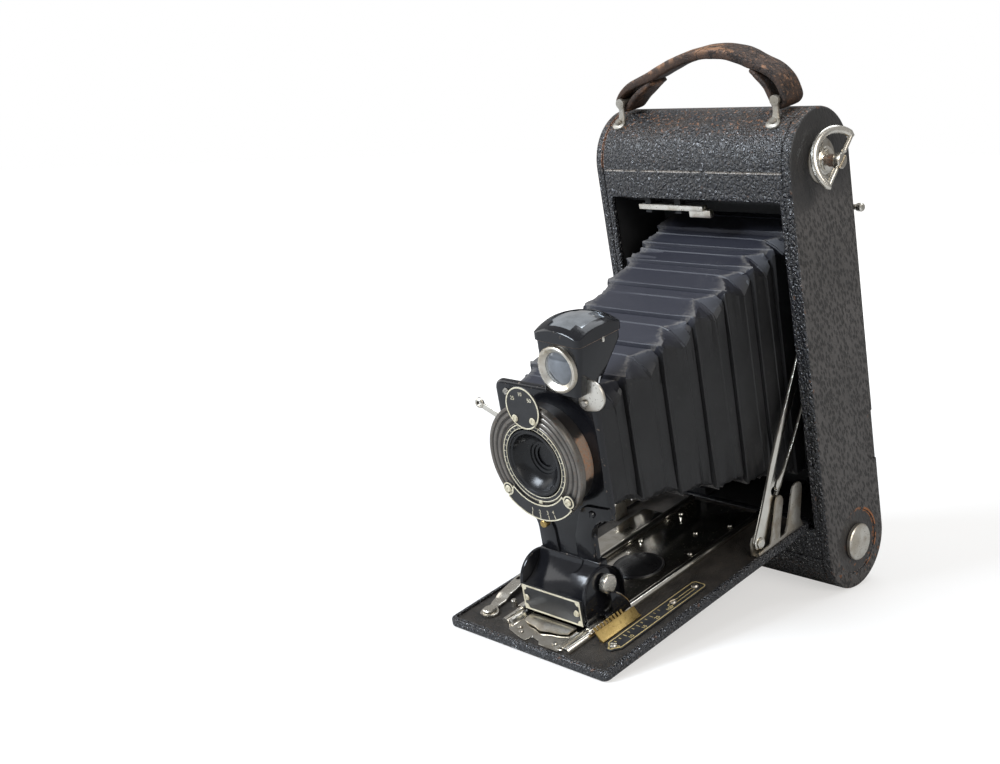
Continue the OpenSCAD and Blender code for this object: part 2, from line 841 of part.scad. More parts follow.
module lens_glass() {
    bulge = 34;
    color("#9fb4bd") on_board() intersection() {
        rod_y(cell_r - 0.2, 0.2, 3.8, $fn = 128);
        translate([0, 0.2 + bulge, 0]) sphere(bulge, $fn = 128);
    }
}

module standard_screws() {
    color("#8a8780") {
        on_board() {
            for (x = [-neck_screw, neck_screw])
                translate([x, 0, -sqrt(pow(case_r + 2.6, 2) - pow(neck_screw, 2))])
                    rotate([90, 0, 0]) screw_head(1.5, 0.7);
            translate([4 - board_x, 0, board_top - 5]) rotate([90, 0, 0]) screw_head(1.3, 0.6);
            translate([swing_x, 0, swing_z]) {
                rod_y(swing_pin, ear_y - fit, 0);
                translate([0, ear_y - 0.2, 0]) rotate([90, 0, 0]) screw_head(swing_pin + 0.8, 0.7);
            }
        }
        on_rails() for (x = [-name_screw, name_screw]) translate([x, saddle_front - name_t, saddle_low + 4.8])
            rotate([90, 0, 0]) screw_head(1.4, 0.6);
    }
}

// Finder

module finder_bracket() {
    side = finder_x0 + finder_w + 0.1 - swing_x;
    color("silver") on_board() translate([swing_x, 0, swing_z]) difference() {
        hull() {
            translate([swing_out[0], 0, swing_out[1]]) rod_y(swing_r, -swing_t - 0.1, -0.1);
            rod_y(ear_r + 0.6, -swing_t - 0.1, -0.1);
        }
        slab([-4 * swing_r, side], [-2, 1], [finder_low - swing_z - 0.1, 4 * swing_r]);
        rod_y(swing_pin + fit, -2, 1);
    }
}

module finder_side2d(wall) {
    polygon([[finder_front + wall, finder_low + wall], [finder_foot - wall, finder_low + wall],
        [finder_back - wall, finder_high - 2.4], [finder_back - wall, finder_high + (wall > 0 ? eps : 0)],
        [finder_front + wall, finder_high + (wall > 0 ? eps : 0)]]);
}

module finder_body() {
    x1 = finder_x0 + finder_w;
    color("#131316") on_board() difference() {
        union() {
            across_x(finder_x0, x1) finder_side2d(0);
            slab([swing_x - ear_r, swing_x + ear_r], [ear_y, -swing_t - fit], [swing_z, finder_low + 1]);
            translate([swing_x, 0, swing_z]) rod_y(ear_r, ear_y, -swing_t - fit);
        }
        across_x(finder_x0 + finder_wall, x1 - finder_wall) finder_side2d(finder_wall);
        translate([finder_x, 0, finder_z]) rod_y(finder_ring_r - 1.7, finder_front - eps, finder_front + 3);
        translate([swing_x, 0, swing_z]) rod_y(swing_pin + fit, ear_y - eps, 0);
    }
}

// Solid of the finder's top, domed between four upright walls
module finder_dome(inset, drop) {
    wide = finder_w + 1 - 2 * inset;
    deep = finder_back - finder_front + 1 - 2 * inset;
    crown = (wide * wide / 4 + deep * deep / 4 + cap_rise * cap_rise) / (2 * cap_rise);
    translate([finder_x, (finder_front + finder_back) / 2, finder_high]) intersection() {
        slab([-wide / 2, wide / 2], [-deep / 2, deep / 2], [0, cap_wall + cap_rise - drop]);
        translate([0, 0, cap_wall + cap_rise - crown - drop]) sphere(crown);
    }
}

module finder_cross(gap) {
    x = (finder_w + 1) / 2 - gap;
    y = (finder_back - finder_front + 1) / 2 - gap;
    translate([finder_x, (finder_front + finder_back) / 2, finder_high]) {
        slab([5.4 - x, x - 5.4], [2.6 - y, y - 2.6], [-eps, 20]);
        slab([2.6 - x, x - 2.6], [5.8 - y, y - 5.8], [-eps, 20]);
    }
}

module finder_cap() {
    color("#101013") on_board() difference() {
        finder_dome(0, 0);
        finder_cross(0);
    }
}

module finder_glass() {
    color("#aab8c0") on_board() intersection() {
        finder_dome(0, 0.5);
        finder_cross(0.05);
    }
}

module finder_lens_ring() {
    color("silver") on_board() translate([finder_x, 0, finder_z])
        tube_y(finder_ring_r - 1.9, finder_ring_r, finder_front - 2.4, finder_front);
}

module finder_lens() {
    bulge = 14;
    color("#aab8c0") on_board() translate([finder_x, 0, finder_z]) intersection() {
        rod_y(finder_ring_r - 2.1, finder_front - 2, finder_front + 1);
        translate([0, finder_front - 2 + bulge, 0]) sphere(bulge);
    }
}

module finder_mirror() {
    slope = atan2(finder_high - 2.4 - finder_low, finder_back - finder_foot);
    color("#c8ccd0") on_board()
        translate([finder_x, finder_foot - finder_wall - 1.6, finder_low + finder_wall + 0.3])
        rotate([slope, 0, 0]) slab([-finder_w / 2 + 1.6, finder_w / 2 - 1.6], [0.2, 16], [0, 0.8]);
}

// Shutter's moving parts

module release_lever() {
    color("silver") on_board() rotate([0, -lever_a, 0]) translate([lever_r, 0, 0])
        across_y(-case_t - 1.6, -case_t - 0.7) difference() {
            union() {
                bar2d(lever_len, 3.4);
                circle(3);
                translate([lever_len, 0]) circle(2.7);
            }
            circle(1.2 + fit);
            translate([lever_len, 0]) circle(1.3);
        }
}

module shutter_blade() {
    color("#3a3d40") on_board() across_y(-3.2, -2.7) difference() {
        union() {
            circle(tip_r + 1.4);
            translate([-1.8, 0]) square([3.6, blade_arm]);
            translate([0, blade_arm]) circle(2.6);
        }
        translate([0, blade_arm]) circle(1 + fit);
    }
}

module speed_wheel() {
    notches = 30;
    color("silver") on_board() translate([0, 0, wheel_z]) difference() {
        rod_y(wheel_r, plate_y + 0.4, -case_t - 0.4);
        rod_y(1.8 + fit, plate_y, -case_t);
        for (i = [0 : notches - 1]) rotate([0, i * 360 / notches, 0]) translate([wheel_r, -case_t - eps, 0])
            rotate([0, 45, 0]) translate([-0.3, -5, -0.3]) cube([0.6, 10, 0.6]);
    }
}

module aperture_pointer() {
    color("silver") on_board() {
        across_y(-case_t - 1.4, -case_t - 0.4) {
            sector2d(iris_in, iris_out, 205, 335);
            translate([-1.4, -case_r - 1.6]) square([2.8, case_r + 1.6 - iris_in - 0.4]);
        }
        translate([0, 0, -case_r - 1.8]) rod_y(1.6, -case_t - 3.2, -case_t - 0.4);
    }
}

// Winding

module spool() {
    rod = spool_x - 1;
    difference() {
        union() {
            rod_x(core_r, -spool_x, spool_x);
            rod_x(spool_r, -spool_x, -rod);
            rod_x(spool_r, rod, spool_x);
        }
        rod_x(bore_r, -spool_x - eps, -spool_x + bore_len);
        rod_x(bore_r, spool_x - bore_len, spool_x + eps);
    }
}

module take_up_spool() {
    color("#7a5a36") stand() translate([0, end_r, seam_z]) spool();
}

module supply_spool() {
    color("#7a2f2a") stand() translate([0, end_r, end_r]) spool();
}

module winding_key() {
    color("silver") stand() translate([0, end_r, seam_z]) difference() {
        union() {
            rod_x(stud_r, spool_x - bore_len + 0.6, spool_x + 0.7);
            rod_x(core_r + 0.8, spool_x + 0.6, half_in - fit);
            rod_x(shaft_r, half_in - 0.4, half_w + 2);
            rod_x(shaft_r + 1.6, half_w + 1.2 + fit, half_w + 3.2);
            rod_x(shaft_r - 0.6, half_w + 3, bow_x - 1.2);
            rod_x(shaft_r, bow_x - 1.4, bow_x + 1.4);
        }
        rotate([key_turn, 0, 0])
            slab([bow_x - 1 - fit, bow_x + 2], [-0.6 - fit, 0.6 + fit], [-shaft_r - eps, shaft_r + eps]);
    }
}

module key_bow() {
    color("silver") stand() translate([bow_x, end_r, seam_z])
        rotate([key_turn, 0, 0]) rotate([0, 0, -bow_fold]) {
            rod_z(0.6, 1 - bow_r, bow_r - 1);
            rotate([90, 0, 0]) translate([0, 0, -bow_t / 2]) linear_extrude(bow_t)
                sector2d(bow_r - bow_w, bow_r, -90, 90);
        }
}

module key_escutcheon() {
    color("silver") stand() translate([0, end_r, seam_z]) difference() {
        rod_x(escutcheon_r, half_w, half_w + 1.2);
        rod_x(shaft_r + fit, half_w - eps, half_w + 2);
    }
}

module spool_pin() {
    color("silver") stand() translate([0, end_r, end_r]) {
        rod_x(stud_r, spool_x - bore_len + 0.6, spool_x + 0.7);
        rod_x(core_r, spool_x + 0.6, half_w - pin_recess + 0.4);
        rod_x(pin_head_r, half_w - pin_recess + fit, half_w + 1.8);
    }
}

module film_roller(z) {
    color("silver") stand() translate([0, roller_y, z]) {
        rod_x(roller_r, -half_in + 0.6, half_in - 0.6);
        rod_x(journal_r, -half_in - panel_t / 2 + 0.4, half_in + panel_t / 2 - 0.4);
    }
}

module film_roller_top() {
    film_roller(roller_z[1]);
}

module film_roller_bottom() {
    film_roller(roller_z[0]);
}

// Back

module back_cover() {
    lug = cover_x - slot_x - door_x - fit;
    color("#252528") stand() difference() {
        union() {
            across_x(-cover_x, cover_x) {
                translate([body_d - shell_t, end_r]) square([shell_t, seam_z - end_r]);
                translate([end_r, seam_z]) sector2d(end_r - shell_t, end_r, 0, cap_a - 1);
                translate([end_r, end_r]) sector2d(end_r - shell_t, end_r, 1 - cap_a, 0);
            }
            for (x = [slot_x - door_x - lug - fit, slot_x + door_x + fit]) translate([x, 0, hinge_z]) {
                translate([0, hinge_back, 0]) rod_x(barrel_out, 0, lug);
                slab([0, lug], [body_d - eps / 2, hinge_back], [-barrel_out, barrel_out]);
            }
        }
        slab([slot_x - slot_w / 2, slot_x + slot_w / 2], [body_d - shell_t - eps, body_d + 0.1],
            [slot_z - slot_h / 2, slot_z + slot_h / 2]);
        translate([0, 0, window_z]) rod_y(window_r + 0.2, body_d - shell_t - eps, body_d + eps);
        translate([slot_x, hinge_back, hinge_z])
            rod_x(hinge_pin + 0.15, -door_x - 2 * lug, door_x + 2 * lug);
    }
}

module red_window() {
    color("#7d1512") stand() translate([0, 0, window_z]) {
        rod_y(window_r, body_d - shell_t, body_d + 0.1);
        rod_y(window_r + 2, body_d, body_d + 0.8);
    }
}

module autographic_door() {
    clip = 2.2;
    color("#2b2b2d") stand() translate([slot_x, 0, 0]) difference() {
        union() {
            slab([-door_x, door_x], [door_y, door_y + door_t], [slot_z - door_z, slot_z + door_z]);
            translate([0, hinge_back, hinge_z]) {
                rod_x(barrel_out, -door_x, door_x);
                rod_x(hinge_pin, -door_x - fit - 2.2, door_x + fit + 2.2);
            }
            slab([-door_x, door_x], [door_y + 0.3, door_y + door_t], [hinge_z, slot_z - door_z + eps]);
            for (x = [6, door_x - 5]) slab([x, x + 3], [door_y + door_t - 0.1, door_y + door_t + 2 * clip],
                [slot_z - clip, slot_z + clip]);
        }
        translate([0, door_y + door_t + clip, slot_z]) rod_x(stylus_r + 0.25, 0, door_x + eps);
    }
}

module stylus() {
    color("silver") stand() translate([0, door_y + door_t + 2.2, slot_z]) {
        rod_x(stylus_r, slot_x + 2, stylus_tip);
        rod_x(stylus_r + 0.6, stylus_tip - 3, stylus_tip);
    }
}

side_panel_left();
side_panel_right();
front_frame();
bay_box();
film_gate();
top_end_cap();
bottom_end_cap();
spool_studs();
key_escutcheon();
side_tripod_bush();
handle_tabs();
handle_strap();
bed_board();
bed_hinge();
bed_track();
tripod_bush();
scale_plate();
focus_comb();
bed_screws();
strut_left();
strut_right();
strut_brackets();
bellows();
standard_base();
name_plate();
focus_pointer();
lens_board();
shutter_case();
bezel_ring();
lens_funnel();
shutter_plates();
lens_glass();
standard_screws();
finder_bracket();
finder_body();
finder_cap();
finder_glass();
finder_lens_ring();
finder_lens();
finder_mirror();
release_lever();
shutter_blade();
speed_wheel();
aperture_pointer();
grip_right();
grip_left();
winding_key();
key_bow();
take_up_spool();
spool_pin();
supply_spool();
film_roller_top();
film_roller_bottom();
back_cover();
red_window();
autographic_door();
stylus();
focus_lever();
bed_latch();
track_catch();
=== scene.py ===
import math

import bmesh
import bpy
from mathutils import Matrix, Vector, noise


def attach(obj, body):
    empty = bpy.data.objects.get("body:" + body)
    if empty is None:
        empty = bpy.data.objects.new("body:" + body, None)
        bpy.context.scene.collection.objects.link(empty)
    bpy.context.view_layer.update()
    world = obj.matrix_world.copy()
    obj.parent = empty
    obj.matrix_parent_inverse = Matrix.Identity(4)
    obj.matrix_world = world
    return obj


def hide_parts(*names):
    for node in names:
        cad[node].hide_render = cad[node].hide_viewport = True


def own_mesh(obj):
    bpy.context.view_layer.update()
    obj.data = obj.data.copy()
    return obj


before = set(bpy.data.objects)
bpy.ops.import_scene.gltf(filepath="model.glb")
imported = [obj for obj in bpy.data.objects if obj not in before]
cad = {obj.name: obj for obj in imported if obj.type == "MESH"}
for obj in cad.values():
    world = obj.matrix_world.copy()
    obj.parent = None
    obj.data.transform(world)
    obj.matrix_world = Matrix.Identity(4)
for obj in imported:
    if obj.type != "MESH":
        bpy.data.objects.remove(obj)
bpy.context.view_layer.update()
print("frame:", len(cad), "solids")

# the case leans on its bed and foot; pieces are made in body millimetres and then placed
case = {"lean": 12.787468, "endR": 21, "seamZ": 189, "halfIn": 46, "halfW": 50, "shell": 1.8, "openX": 43.35,
        "openTop": 177, "bedBot": 34.6, "bedTop": 38.6, "bedFloor": 37.6, "railTop": 40.2, "lensZ": 105.6,
        "extension": 101}
lean = math.radians(case["lean"])
endR, seamZ = case["endR"], case["seamZ"]
footAxis, topAxis = (0, endR, endR), (0, endR, seamZ)
bedFloor = case["bedFloor"]
seat = bedFloor + 0.02  # a hair above the floor, under what lies on it
onBody = (Matrix.Translation((0, 0, endR * 0.001)) @ Matrix.Rotation(lean, 4, "X")
          @ Matrix.Translation((0, -endR * 0.001, -endR * 0.001)) @ Matrix.Scale(0.001, 4))
onBoard = onBody @ Matrix.Translation((0, -case["extension"], case["lensZ"]))
onRails = onBody @ Matrix.Translation((0, -case["extension"], case["railTop"]))


# node maths

class Wire:
    def __init__(self, tree, socket):
        self.tree, self.socket = tree, socket

    def do(self, operation, a, b=0.0):
        return addNode(self.tree, "ShaderNodeMath", {"operation": operation}, {0: a, 1: b})

    def __add__(self, other):
        return self.do("ADD", self, other)

    def __radd__(self, other):
        return self.do("ADD", other, self)

    def __sub__(self, other):
        return self.do("SUBTRACT", self, other)

    def __rsub__(self, other):
        return self.do("SUBTRACT", other, self)

    def __mul__(self, other):
        return self.do("MULTIPLY", self, other)

    def __rmul__(self, other):
        return self.do("MULTIPLY", other, self)

    def __pow__(self, other):
        return self.do("POWER", self, other)

    def __gt__(self, other):
        return self.do("GREATER_THAN", self, other)

    def __abs__(self):
        return self.do("ABSOLUTE", self)


def addNode(tree, kind, settings=None, values=None, out=0):
    node = tree.nodes.new(kind)
    for key, value in (settings or {}).items():
        setattr(node, key, value)
    for key, value in (values or {}).items():
        if isinstance(value, Wire):
            tree.links.new(value.socket, node.inputs[key])
        else:
            node.inputs[key].default_value = value
    return Wire(tree, node.outputs[out])


def rgba(paint):
    return tuple(paint) + (1,) if isinstance(paint, tuple) and len(paint) == 3 else paint


def dim(paint, share):
    return tuple(c * share for c in paint)


class Finish:
    def __init__(self, name):
        self.material = bpy.data.materials.new(name)
        self.material.use_nodes = True
        self.tree = self.material.node_tree
        self.shader = self.tree.nodes["Principled BSDF"]
        # spot is the place in body millimetres
        here = addNode(self.tree, "ShaderNodeTexCoord", out=3)
        turn = Matrix.Rotation(-lean, 3, "X")
        shift = Vector(footAxis) - turn @ Vector((0, 0, endR))
        self.spot = addNode(self.tree, "ShaderNodeMapping", None, {
            "Vector": here, "Location": shift, "Rotation": (-lean, 0, 0), "Scale": (1000, 1000, 1000)})

    def add(self, kind, settings=None, values=None, out=0):
        return addNode(self.tree, kind, settings, values, out)

    def axes(self):
        return [self.add("ShaderNodeSeparateXYZ", None, {0: self.spot}, i) for i in range(3)]

    def stretch(self, x, y, z):
        return self.add("ShaderNodeVectorMath", {"operation": "MULTIPLY"}, {0: self.spot, 1: (x, y, z)})

    def noise(self, scale, detail=3.0, at=None, out=0):
        values = {"Vector": at or self.spot, "Scale": scale, "Detail": detail}
        return self.add("ShaderNodeTexNoise", None, values, out)

    # pushes the places in base about by a cloud of noise
    def drift(self, scale, detail, reach, base):
        return self.add("ShaderNodeVectorMath", {"operation": "MULTIPLY_ADD"},
                        {0: self.noise(scale, detail, out=1), 1: reach, 2: base})

    def cells(self, scale, at, feature="SMOOTH_F1"):
        return self.add("ShaderNodeTexVoronoi", {"feature": feature}, {"Vector": at, "Scale": scale})

    def ease(self, value, low, high):
        return self.add("ShaderNodeMapRange", {"interpolation_type": "SMOOTHSTEP"},
                        {"Value": value, "From Min": low, "From Max": high})

    def blend(self, share, a, b):
        return self.add("ShaderNodeMix", {"data_type": "RGBA"}, {0: share, 6: rgba(a), 7: rgba(b)}, 2)

    def mark(self, name="wear"):
        return self.add("ShaderNodeAttribute", {"attribute_name": name}, None, 2)

    def bump(self, height, depth):
        self.put("Normal", self.add("ShaderNodeBump", None, {"Height": height, "Distance": depth * 0.001}))

    def put(self, name, value):
        socket = self.shader.inputs[name]
        if isinstance(value, Wire):
            self.tree.links.new(value.socket, socket)
        else:
            socket.default_value = rgba(value)


# finishes

caseGrain = {"pebble": 0.6, "dark": (0.0068, 0.0068, 0.0081), "pale": (0.0232, 0.0236, 0.0283),
             "rub": (0.23, 0.098, 0.04), "seam": (0.42, 0.37, 0.32), "crown": (0.036, 0.025, 0.018),
             "groove": (0.20, 0.075, 0.025), "grooveX": -45.9, "seamZ": 188.9}


def makeCaseLeather():
    f = Finish("caseLeather")
    x, y, z = f.axes()
    drift = f.drift(0.4, 2.0, (1.6, 1.6, 1.6), f.stretch(1, 1, 0.82))
    pebble = f.cells(caseGrain["pebble"], drift)
    crease = f.cells(caseGrain["pebble"], drift, "DISTANCE_TO_EDGE")
    fine = f.noise(3.2, 4.0)
    patch = f.noise(0.09, 3.0)
    rise = f.ease(crease, 0.02, 0.30) * 0.8 + (0.9 - pebble) * 0.3 + fine * 0.2
    # rubbed to brown on the crown, a little along edges and in stray flecks
    crown = f.ease(z, 198.0, 208.0)
    flecks = f.ease(f.noise(0.7, 4.0, f.stretch(1.0, 1.0, 1.3)), 0.57, 0.66)
    stray = f.ease(f.noise(0.5, 4.0), 0.67, 0.72)
    edge = f.mark() * f.ease(f.noise(0.3, 4.0), 0.60, 0.68)
    foot = f.ease(26.0 - z, 0.0, 14.0)
    rub = flecks * (crown * 0.95 + foot * 0.4) + stray * 0.35 + edge * 0.4
    hide = f.blend(f.ease(rise * 0.5 + patch * 0.5, 0.3, 0.9), caseGrain["dark"], caseGrain["pale"])
    brown = f.blend(crown * f.ease(patch, 0.3, 0.6) * 0.85, hide, caseGrain["crown"])
    worn = f.blend(f.ease(rub, 0.0, 1.0), brown, caseGrain["rub"])
    groove = (1 - f.ease(abs(x - caseGrain["grooveX"]), 0.35, 0.9)) * f.ease(z, 188.5, 191.0)
    lined = f.blend(groove * f.ease(f.noise(0.2, 3.0), 0.35, 0.5) * 0.9, worn, caseGrain["groove"])
    # pale line where the front sheet meets the cap
    seam = (1 - f.ease(abs(z - caseGrain["seamZ"]), 0.25, 0.6)) * f.ease(1.6 - y, 0.0, 1.0)
    seam = seam * f.ease(case["halfIn"] - abs(x), 0.0, 0.6)
    f.put("Base Color", f.blend(seam * f.ease(f.noise(0.3, 3.0), 0.3, 0.5) * 0.8, lined, caseGrain["seam"]))
    f.put("Roughness", 0.38 - rise * 0.2 + crown * 0.12 + rub * 0.2)
    f.put("Specular IOR Level", 0.9)
    f.bump(rise, 0.8)
    return f.material


panelGrain = {"streak": 0.95, "dark": (0.019, 0.0178, 0.017), "pale": (0.094, 0.087, 0.083),
              "rub": (0.30, 0.115, 0.04), "disc": (0.036, 0.034, 0.033), "head": (0.017, 0.0165, 0.0165)}


def makePanelLeather():
    f = Finish("panelLeather")
    x, y, z = f.axes()
    skew = f.add("ShaderNodeCombineXYZ", None, {0: x * 0.2, 1: y * 0.95 + z * 0.30, 2: z * 0.36 - y * 0.10})
    drift = f.drift(0.3, 2.0, (0.5, 0.8, 0.5), skew)
    pebble = f.cells(panelGrain["streak"], drift, "F1")
    fine = f.noise(2.6, 4.0)
    broad = f.noise(0.05, 2.0)
    pit = (1 - f.ease(pebble, 0.28, 0.66)) * f.ease(f.noise(0.55, 2.0), 0.2, 0.5)
    rise = pebble * 0.3 + fine * 0.2 - pit * 0.7
    side = f.ease(x, 40.0, 46.0)
    low = f.add("ShaderNodeVectorMath", {"operation": "DISTANCE"},
                {0: f.add("ShaderNodeCombineXYZ", None, {1: y, 2: z}), 1: footAxis}, 1)
    # a rubbed ring round the sunk disc
    halo = (1 - f.ease(abs(low - 14.4), 0.2, 1.3)) * side * f.ease(y + z * 0.3, 22.0, 34.0)
    foot = f.ease(36.0 - z, 0.0, 26.0)
    flecks = f.ease(f.noise(0.42, 4.0), 0.59, 0.67)
    edge = f.mark() * f.ease(f.noise(0.2, 3.0), 0.55, 0.66)
    halo = halo * f.ease(f.noise(0.35, 3.0), 0.42, 0.6)
    rub = f.ease(halo * 0.9 + flecks * foot * 0.5 + edge * 0.35, 0.12, 0.8)
    recess = (1 - f.ease(low, 13.0, 14.2)) * side
    # rubbed smooth and dark round the key
    head = f.ease(z + f.noise(0.1, 3.0) * 26.0, 176.0, 196.0)
    flat = f.ease(recess * 0.8 + head * 0.9, 0.0, 1.0)
    pale = panelGrain["pale"]
    grain = f.blend(f.ease(fine * 0.5 + broad * 0.6, 0.35, 0.8), dim(pale, 0.72), pale)
    hide = f.blend(pit * (0.8 - flat * 0.5), grain, panelGrain["dark"])
    plain = f.blend(flat * 0.85, hide, f.blend(head, panelGrain["disc"], panelGrain["head"]))
    f.put("Base Color", f.blend(rub, plain, panelGrain["rub"]))
    f.put("Roughness", 0.56 - rise * 0.1 + rub * 0.1 - flat * 0.12)
    f.put("Specular IOR Level", 0.45)
    f.bump(rise * (1 - flat * 0.8), 0.45)
    return f.material


enamelLook = {"black": (0.0052, 0.0053, 0.0066), "haze": (0.013, 0.0132, 0.0155), "chip": (0.13, 0.10, 0.075)}


def makeEnamel():
    f = Finish("blackEnamel")
    speck = f.ease(f.noise(1.1, 4.0), 0.68, 0.74)
    chips = f.ease(f.mark() * f.ease(f.noise(0.5, 4.0), 0.60, 0.70) + speck * 0.3 * f.noise(0.2), 0.15, 0.7)
    haze = f.noise(0.12, 3.0)
    black = f.blend(haze * 0.6, enamelLook["black"], enamelLook["haze"])
    f.put("Base Color", f.blend(chips * 0.8, black, enamelLook["chip"]))
    f.put("Roughness", 0.09 + haze * 0.12 + chips * 0.3)
    f.put("Specular IOR Level", 0.45)
    f.put("Coat Weight", 0.06)
    f.put("Coat Roughness", 0.08)
    f.bump(f.noise(0.8, 2.0) + f.noise(6.0, 2.0) * 0.1, 0.03)
    return f.material


nickelLook = {"bright": (0.80, 0.765, 0.69), "warm": (0.56, 0.50, 0.41), "tarnish": (0.22, 0.17, 0.11)}


def makeNickel(name="nickel", age=0.5, smooth=0.16, tone=1.0):
    f = Finish(name)
    bright, warm, tarnish = (dim(nickelLook[n], tone) for n in ("bright", "warm", "tarnish"))
    cloud = f.noise(0.16, 4.0)
    spots = f.ease(f.noise(1.5, 5.0), 0.60, 0.74) * age
    plated = f.blend(f.ease(cloud, 0.35, 0.7) * age, bright, warm)
    dull = f.ease(spots + f.mark() * f.noise(0.4) * 0.4 * age, 0.1, 0.9)
    f.put("Base Color", f.blend(dull, plated, tarnish))
    f.put("Metallic", 1.0)
    f.put("Roughness", smooth + cloud * 0.14 + spots * 0.3)
    f.bump(f.noise(1.0, 3.0, f.stretch(0.6, 0.6, 4.0)) + f.noise(5.0, 2.0) * 0.4, 0.02)
    return f.material


def makeShaded(name, dark, pale, rough, depth, scale=1.2, metal=0.0, spots=None, level=0.5):
    f = Finish(name)
    cloud = f.noise(scale * 0.16, 4.0)
    fine = f.noise(scale * 2.4, 4.0)
    paint = f.blend(f.ease(cloud * 0.6 + fine * 0.5, 0.3, 0.8), dark, pale)
    if spots:
        paint = f.blend(f.ease(f.noise(scale * 0.7, 5.0), 0.54, 0.70) * spots[3], paint, tuple(spots[:3]))
    f.put("Base Color", paint)
    f.put("Metallic", metal)
    f.put("Roughness", rough + cloud * 0.16 - fine * 0.06)
    f.put("Specular IOR Level", level)
    f.bump(fine + cloud * 0.5, depth)
    return f.material


# the top faces get a lighter, bluer copy of the side colours, painting in the light that falls on them from
# above
bellowsLook = {"side": ((0.0105, 0.0105, 0.011), (0.0175, 0.0175, 0.0182)),
               "paintedLitTop": ((0.021, 0.0215, 0.029), (0.033, 0.0338, 0.045)),
               "dust": (0.10, 0.095, 0.09), "rub": (0.13, 0.122, 0.115)}


def makeBellowsLeather():
    f = Finish("bellowsLeather")
    grain = f.noise(2.2, 5.0)
    dust = f.ease(f.noise(0.35, 5.0), 0.66, 0.74)
    rub = f.ease(f.mark() * (0.35 + f.noise(0.9, 5.0) * 1.1), 0.5, 0.95)
    hide = f.blend(f.ease(grain * 0.6 + f.noise(0.06, 2.0) * 0.6, 0.4, 0.8), *bellowsLook["side"])
    # the upward faces are painted lighter and bluer, a painted highlight of the light from above
    hide = f.blend(f.mark("paintedLitTop"), hide, f.blend(grain, *bellowsLook["paintedLitTop"]))
    hide = f.blend(dust * 0.12, hide, bellowsLook["dust"])
    f.put("Base Color", f.blend(rub * 0.8, hide, bellowsLook["rub"]))
    f.put("Roughness", 0.42 + grain * 0.14 + rub * 0.15)
    f.put("Specular IOR Level", 0.42)
    f.bump(grain + f.noise(0.25, 3.0) * 0.6, 0.06)
    return f.material


barrelLook = {"z": 107.8, "half": 9.0, "fade": 4.0, "black": (0.011, 0.009, 0.008),
              "tan": (0.34, 0.24, 0.175), "orange": (0.34, 0.14, 0.055)}


def makeBarrelRust():
    f = Finish("barrelRust")
    x, _, z = f.axes()
    cloud = f.noise(0.3, 4.0)
    # bare tan metal in a band at mid height on the right; the rest stays black, and above the band that black
    # is painted shade
    half = barrelLook["half"]
    bare = 1 - f.ease(abs(z - barrelLook["z"]) + cloud * 6.0, half, half + barrelLook["fade"])
    bare = bare * f.ease(x, 8.0, 15.0)
    spots = f.ease(f.noise(0.9, 5.0), 0.54, 0.64)
    metal = f.blend(f.noise(2.0, 4.0), dim(barrelLook["tan"], 0.5), barrelLook["tan"])
    metal = f.blend(spots * 0.7, metal, barrelLook["orange"])
    f.put("Base Color", f.blend(f.ease(bare + spots * 0.16, 0.1, 0.8), barrelLook["black"], metal))
    f.put("Roughness", 0.4 + bare * 0.25)
    f.bump(f.noise(1.6, 4.0) * bare, 0.15)
    return f.material


strapLook = {"dark": (0.014, 0.0085, 0.006), "brown": (0.075, 0.037, 0.02), "tan": (0.34, 0.17, 0.085),
             "crack": (0.007, 0.005, 0.004)}


def makeStrapLeather():
    f = Finish("strapLeather")
    x = f.axes()[0]
    crack = f.cells(0.3, f.drift(0.6, 3.0, (3.0, 3.0, 3.0), f.stretch(0.6, 1.5, 0.6)), "DISTANCE_TO_EDGE")
    lines = (1 - f.ease(crack, 0.01, 0.06)) * f.ease(x, -14.0, 10.0)
    fine = f.noise(2.4, 5.0)
    # the grip is rubbed to tan left of the crown, the right side stays dark and cracked
    middle = 1 - f.ease(abs(x + 8.0), 10.0, 34.0)
    rub = f.ease(f.noise(0.26, 5.0) + middle * 0.15, 0.52, 0.76) * f.mark("top")
    scuff = f.ease(f.noise(0.8, 5.0), 0.53, 0.66) * 0.55
    cloud = f.ease(fine * 0.7 + f.noise(0.12, 3.0) * 0.5, 0.4, 0.85)
    hide = f.blend(cloud, strapLook["dark"], strapLook["brown"])
    bare = f.blend(f.noise(0.9, 4.0), dim(strapLook["tan"], 0.35), strapLook["tan"])
    tan = f.blend(f.ease(rub + scuff * f.mark("top"), 0.1, 0.95), hide, bare)
    f.put("Base Color", f.blend(lines * 0.85, tan, strapLook["crack"]))
    f.put("Roughness", 0.5 + fine * 0.2 - rub * 0.06)
    f.put("Specular IOR Level", 0.42)
    f.bump(fine * 0.5 + f.noise(0.5, 4.0) * 0.8 - lines * 0.9, 0.3)
    return f.material


def makeGlass(name, tint, metal, rough):
    f = Finish(name)
    smear = f.noise(0.18, 4.0)
    dust = f.ease(f.noise(2.4, 4.0), 0.62, 0.72) * 0.2
    f.put("Base Color", f.blend(f.ease(smear, 0.3, 0.75) + dust, tint, dim(tint, 0.62)))
    f.put("Metallic", metal)
    f.put("Roughness", rough + smear * 0.06 + dust * 0.3)
    f.put("Coat Weight", 1.0)
    f.put("Coat Roughness", 0.02)
    return f.material


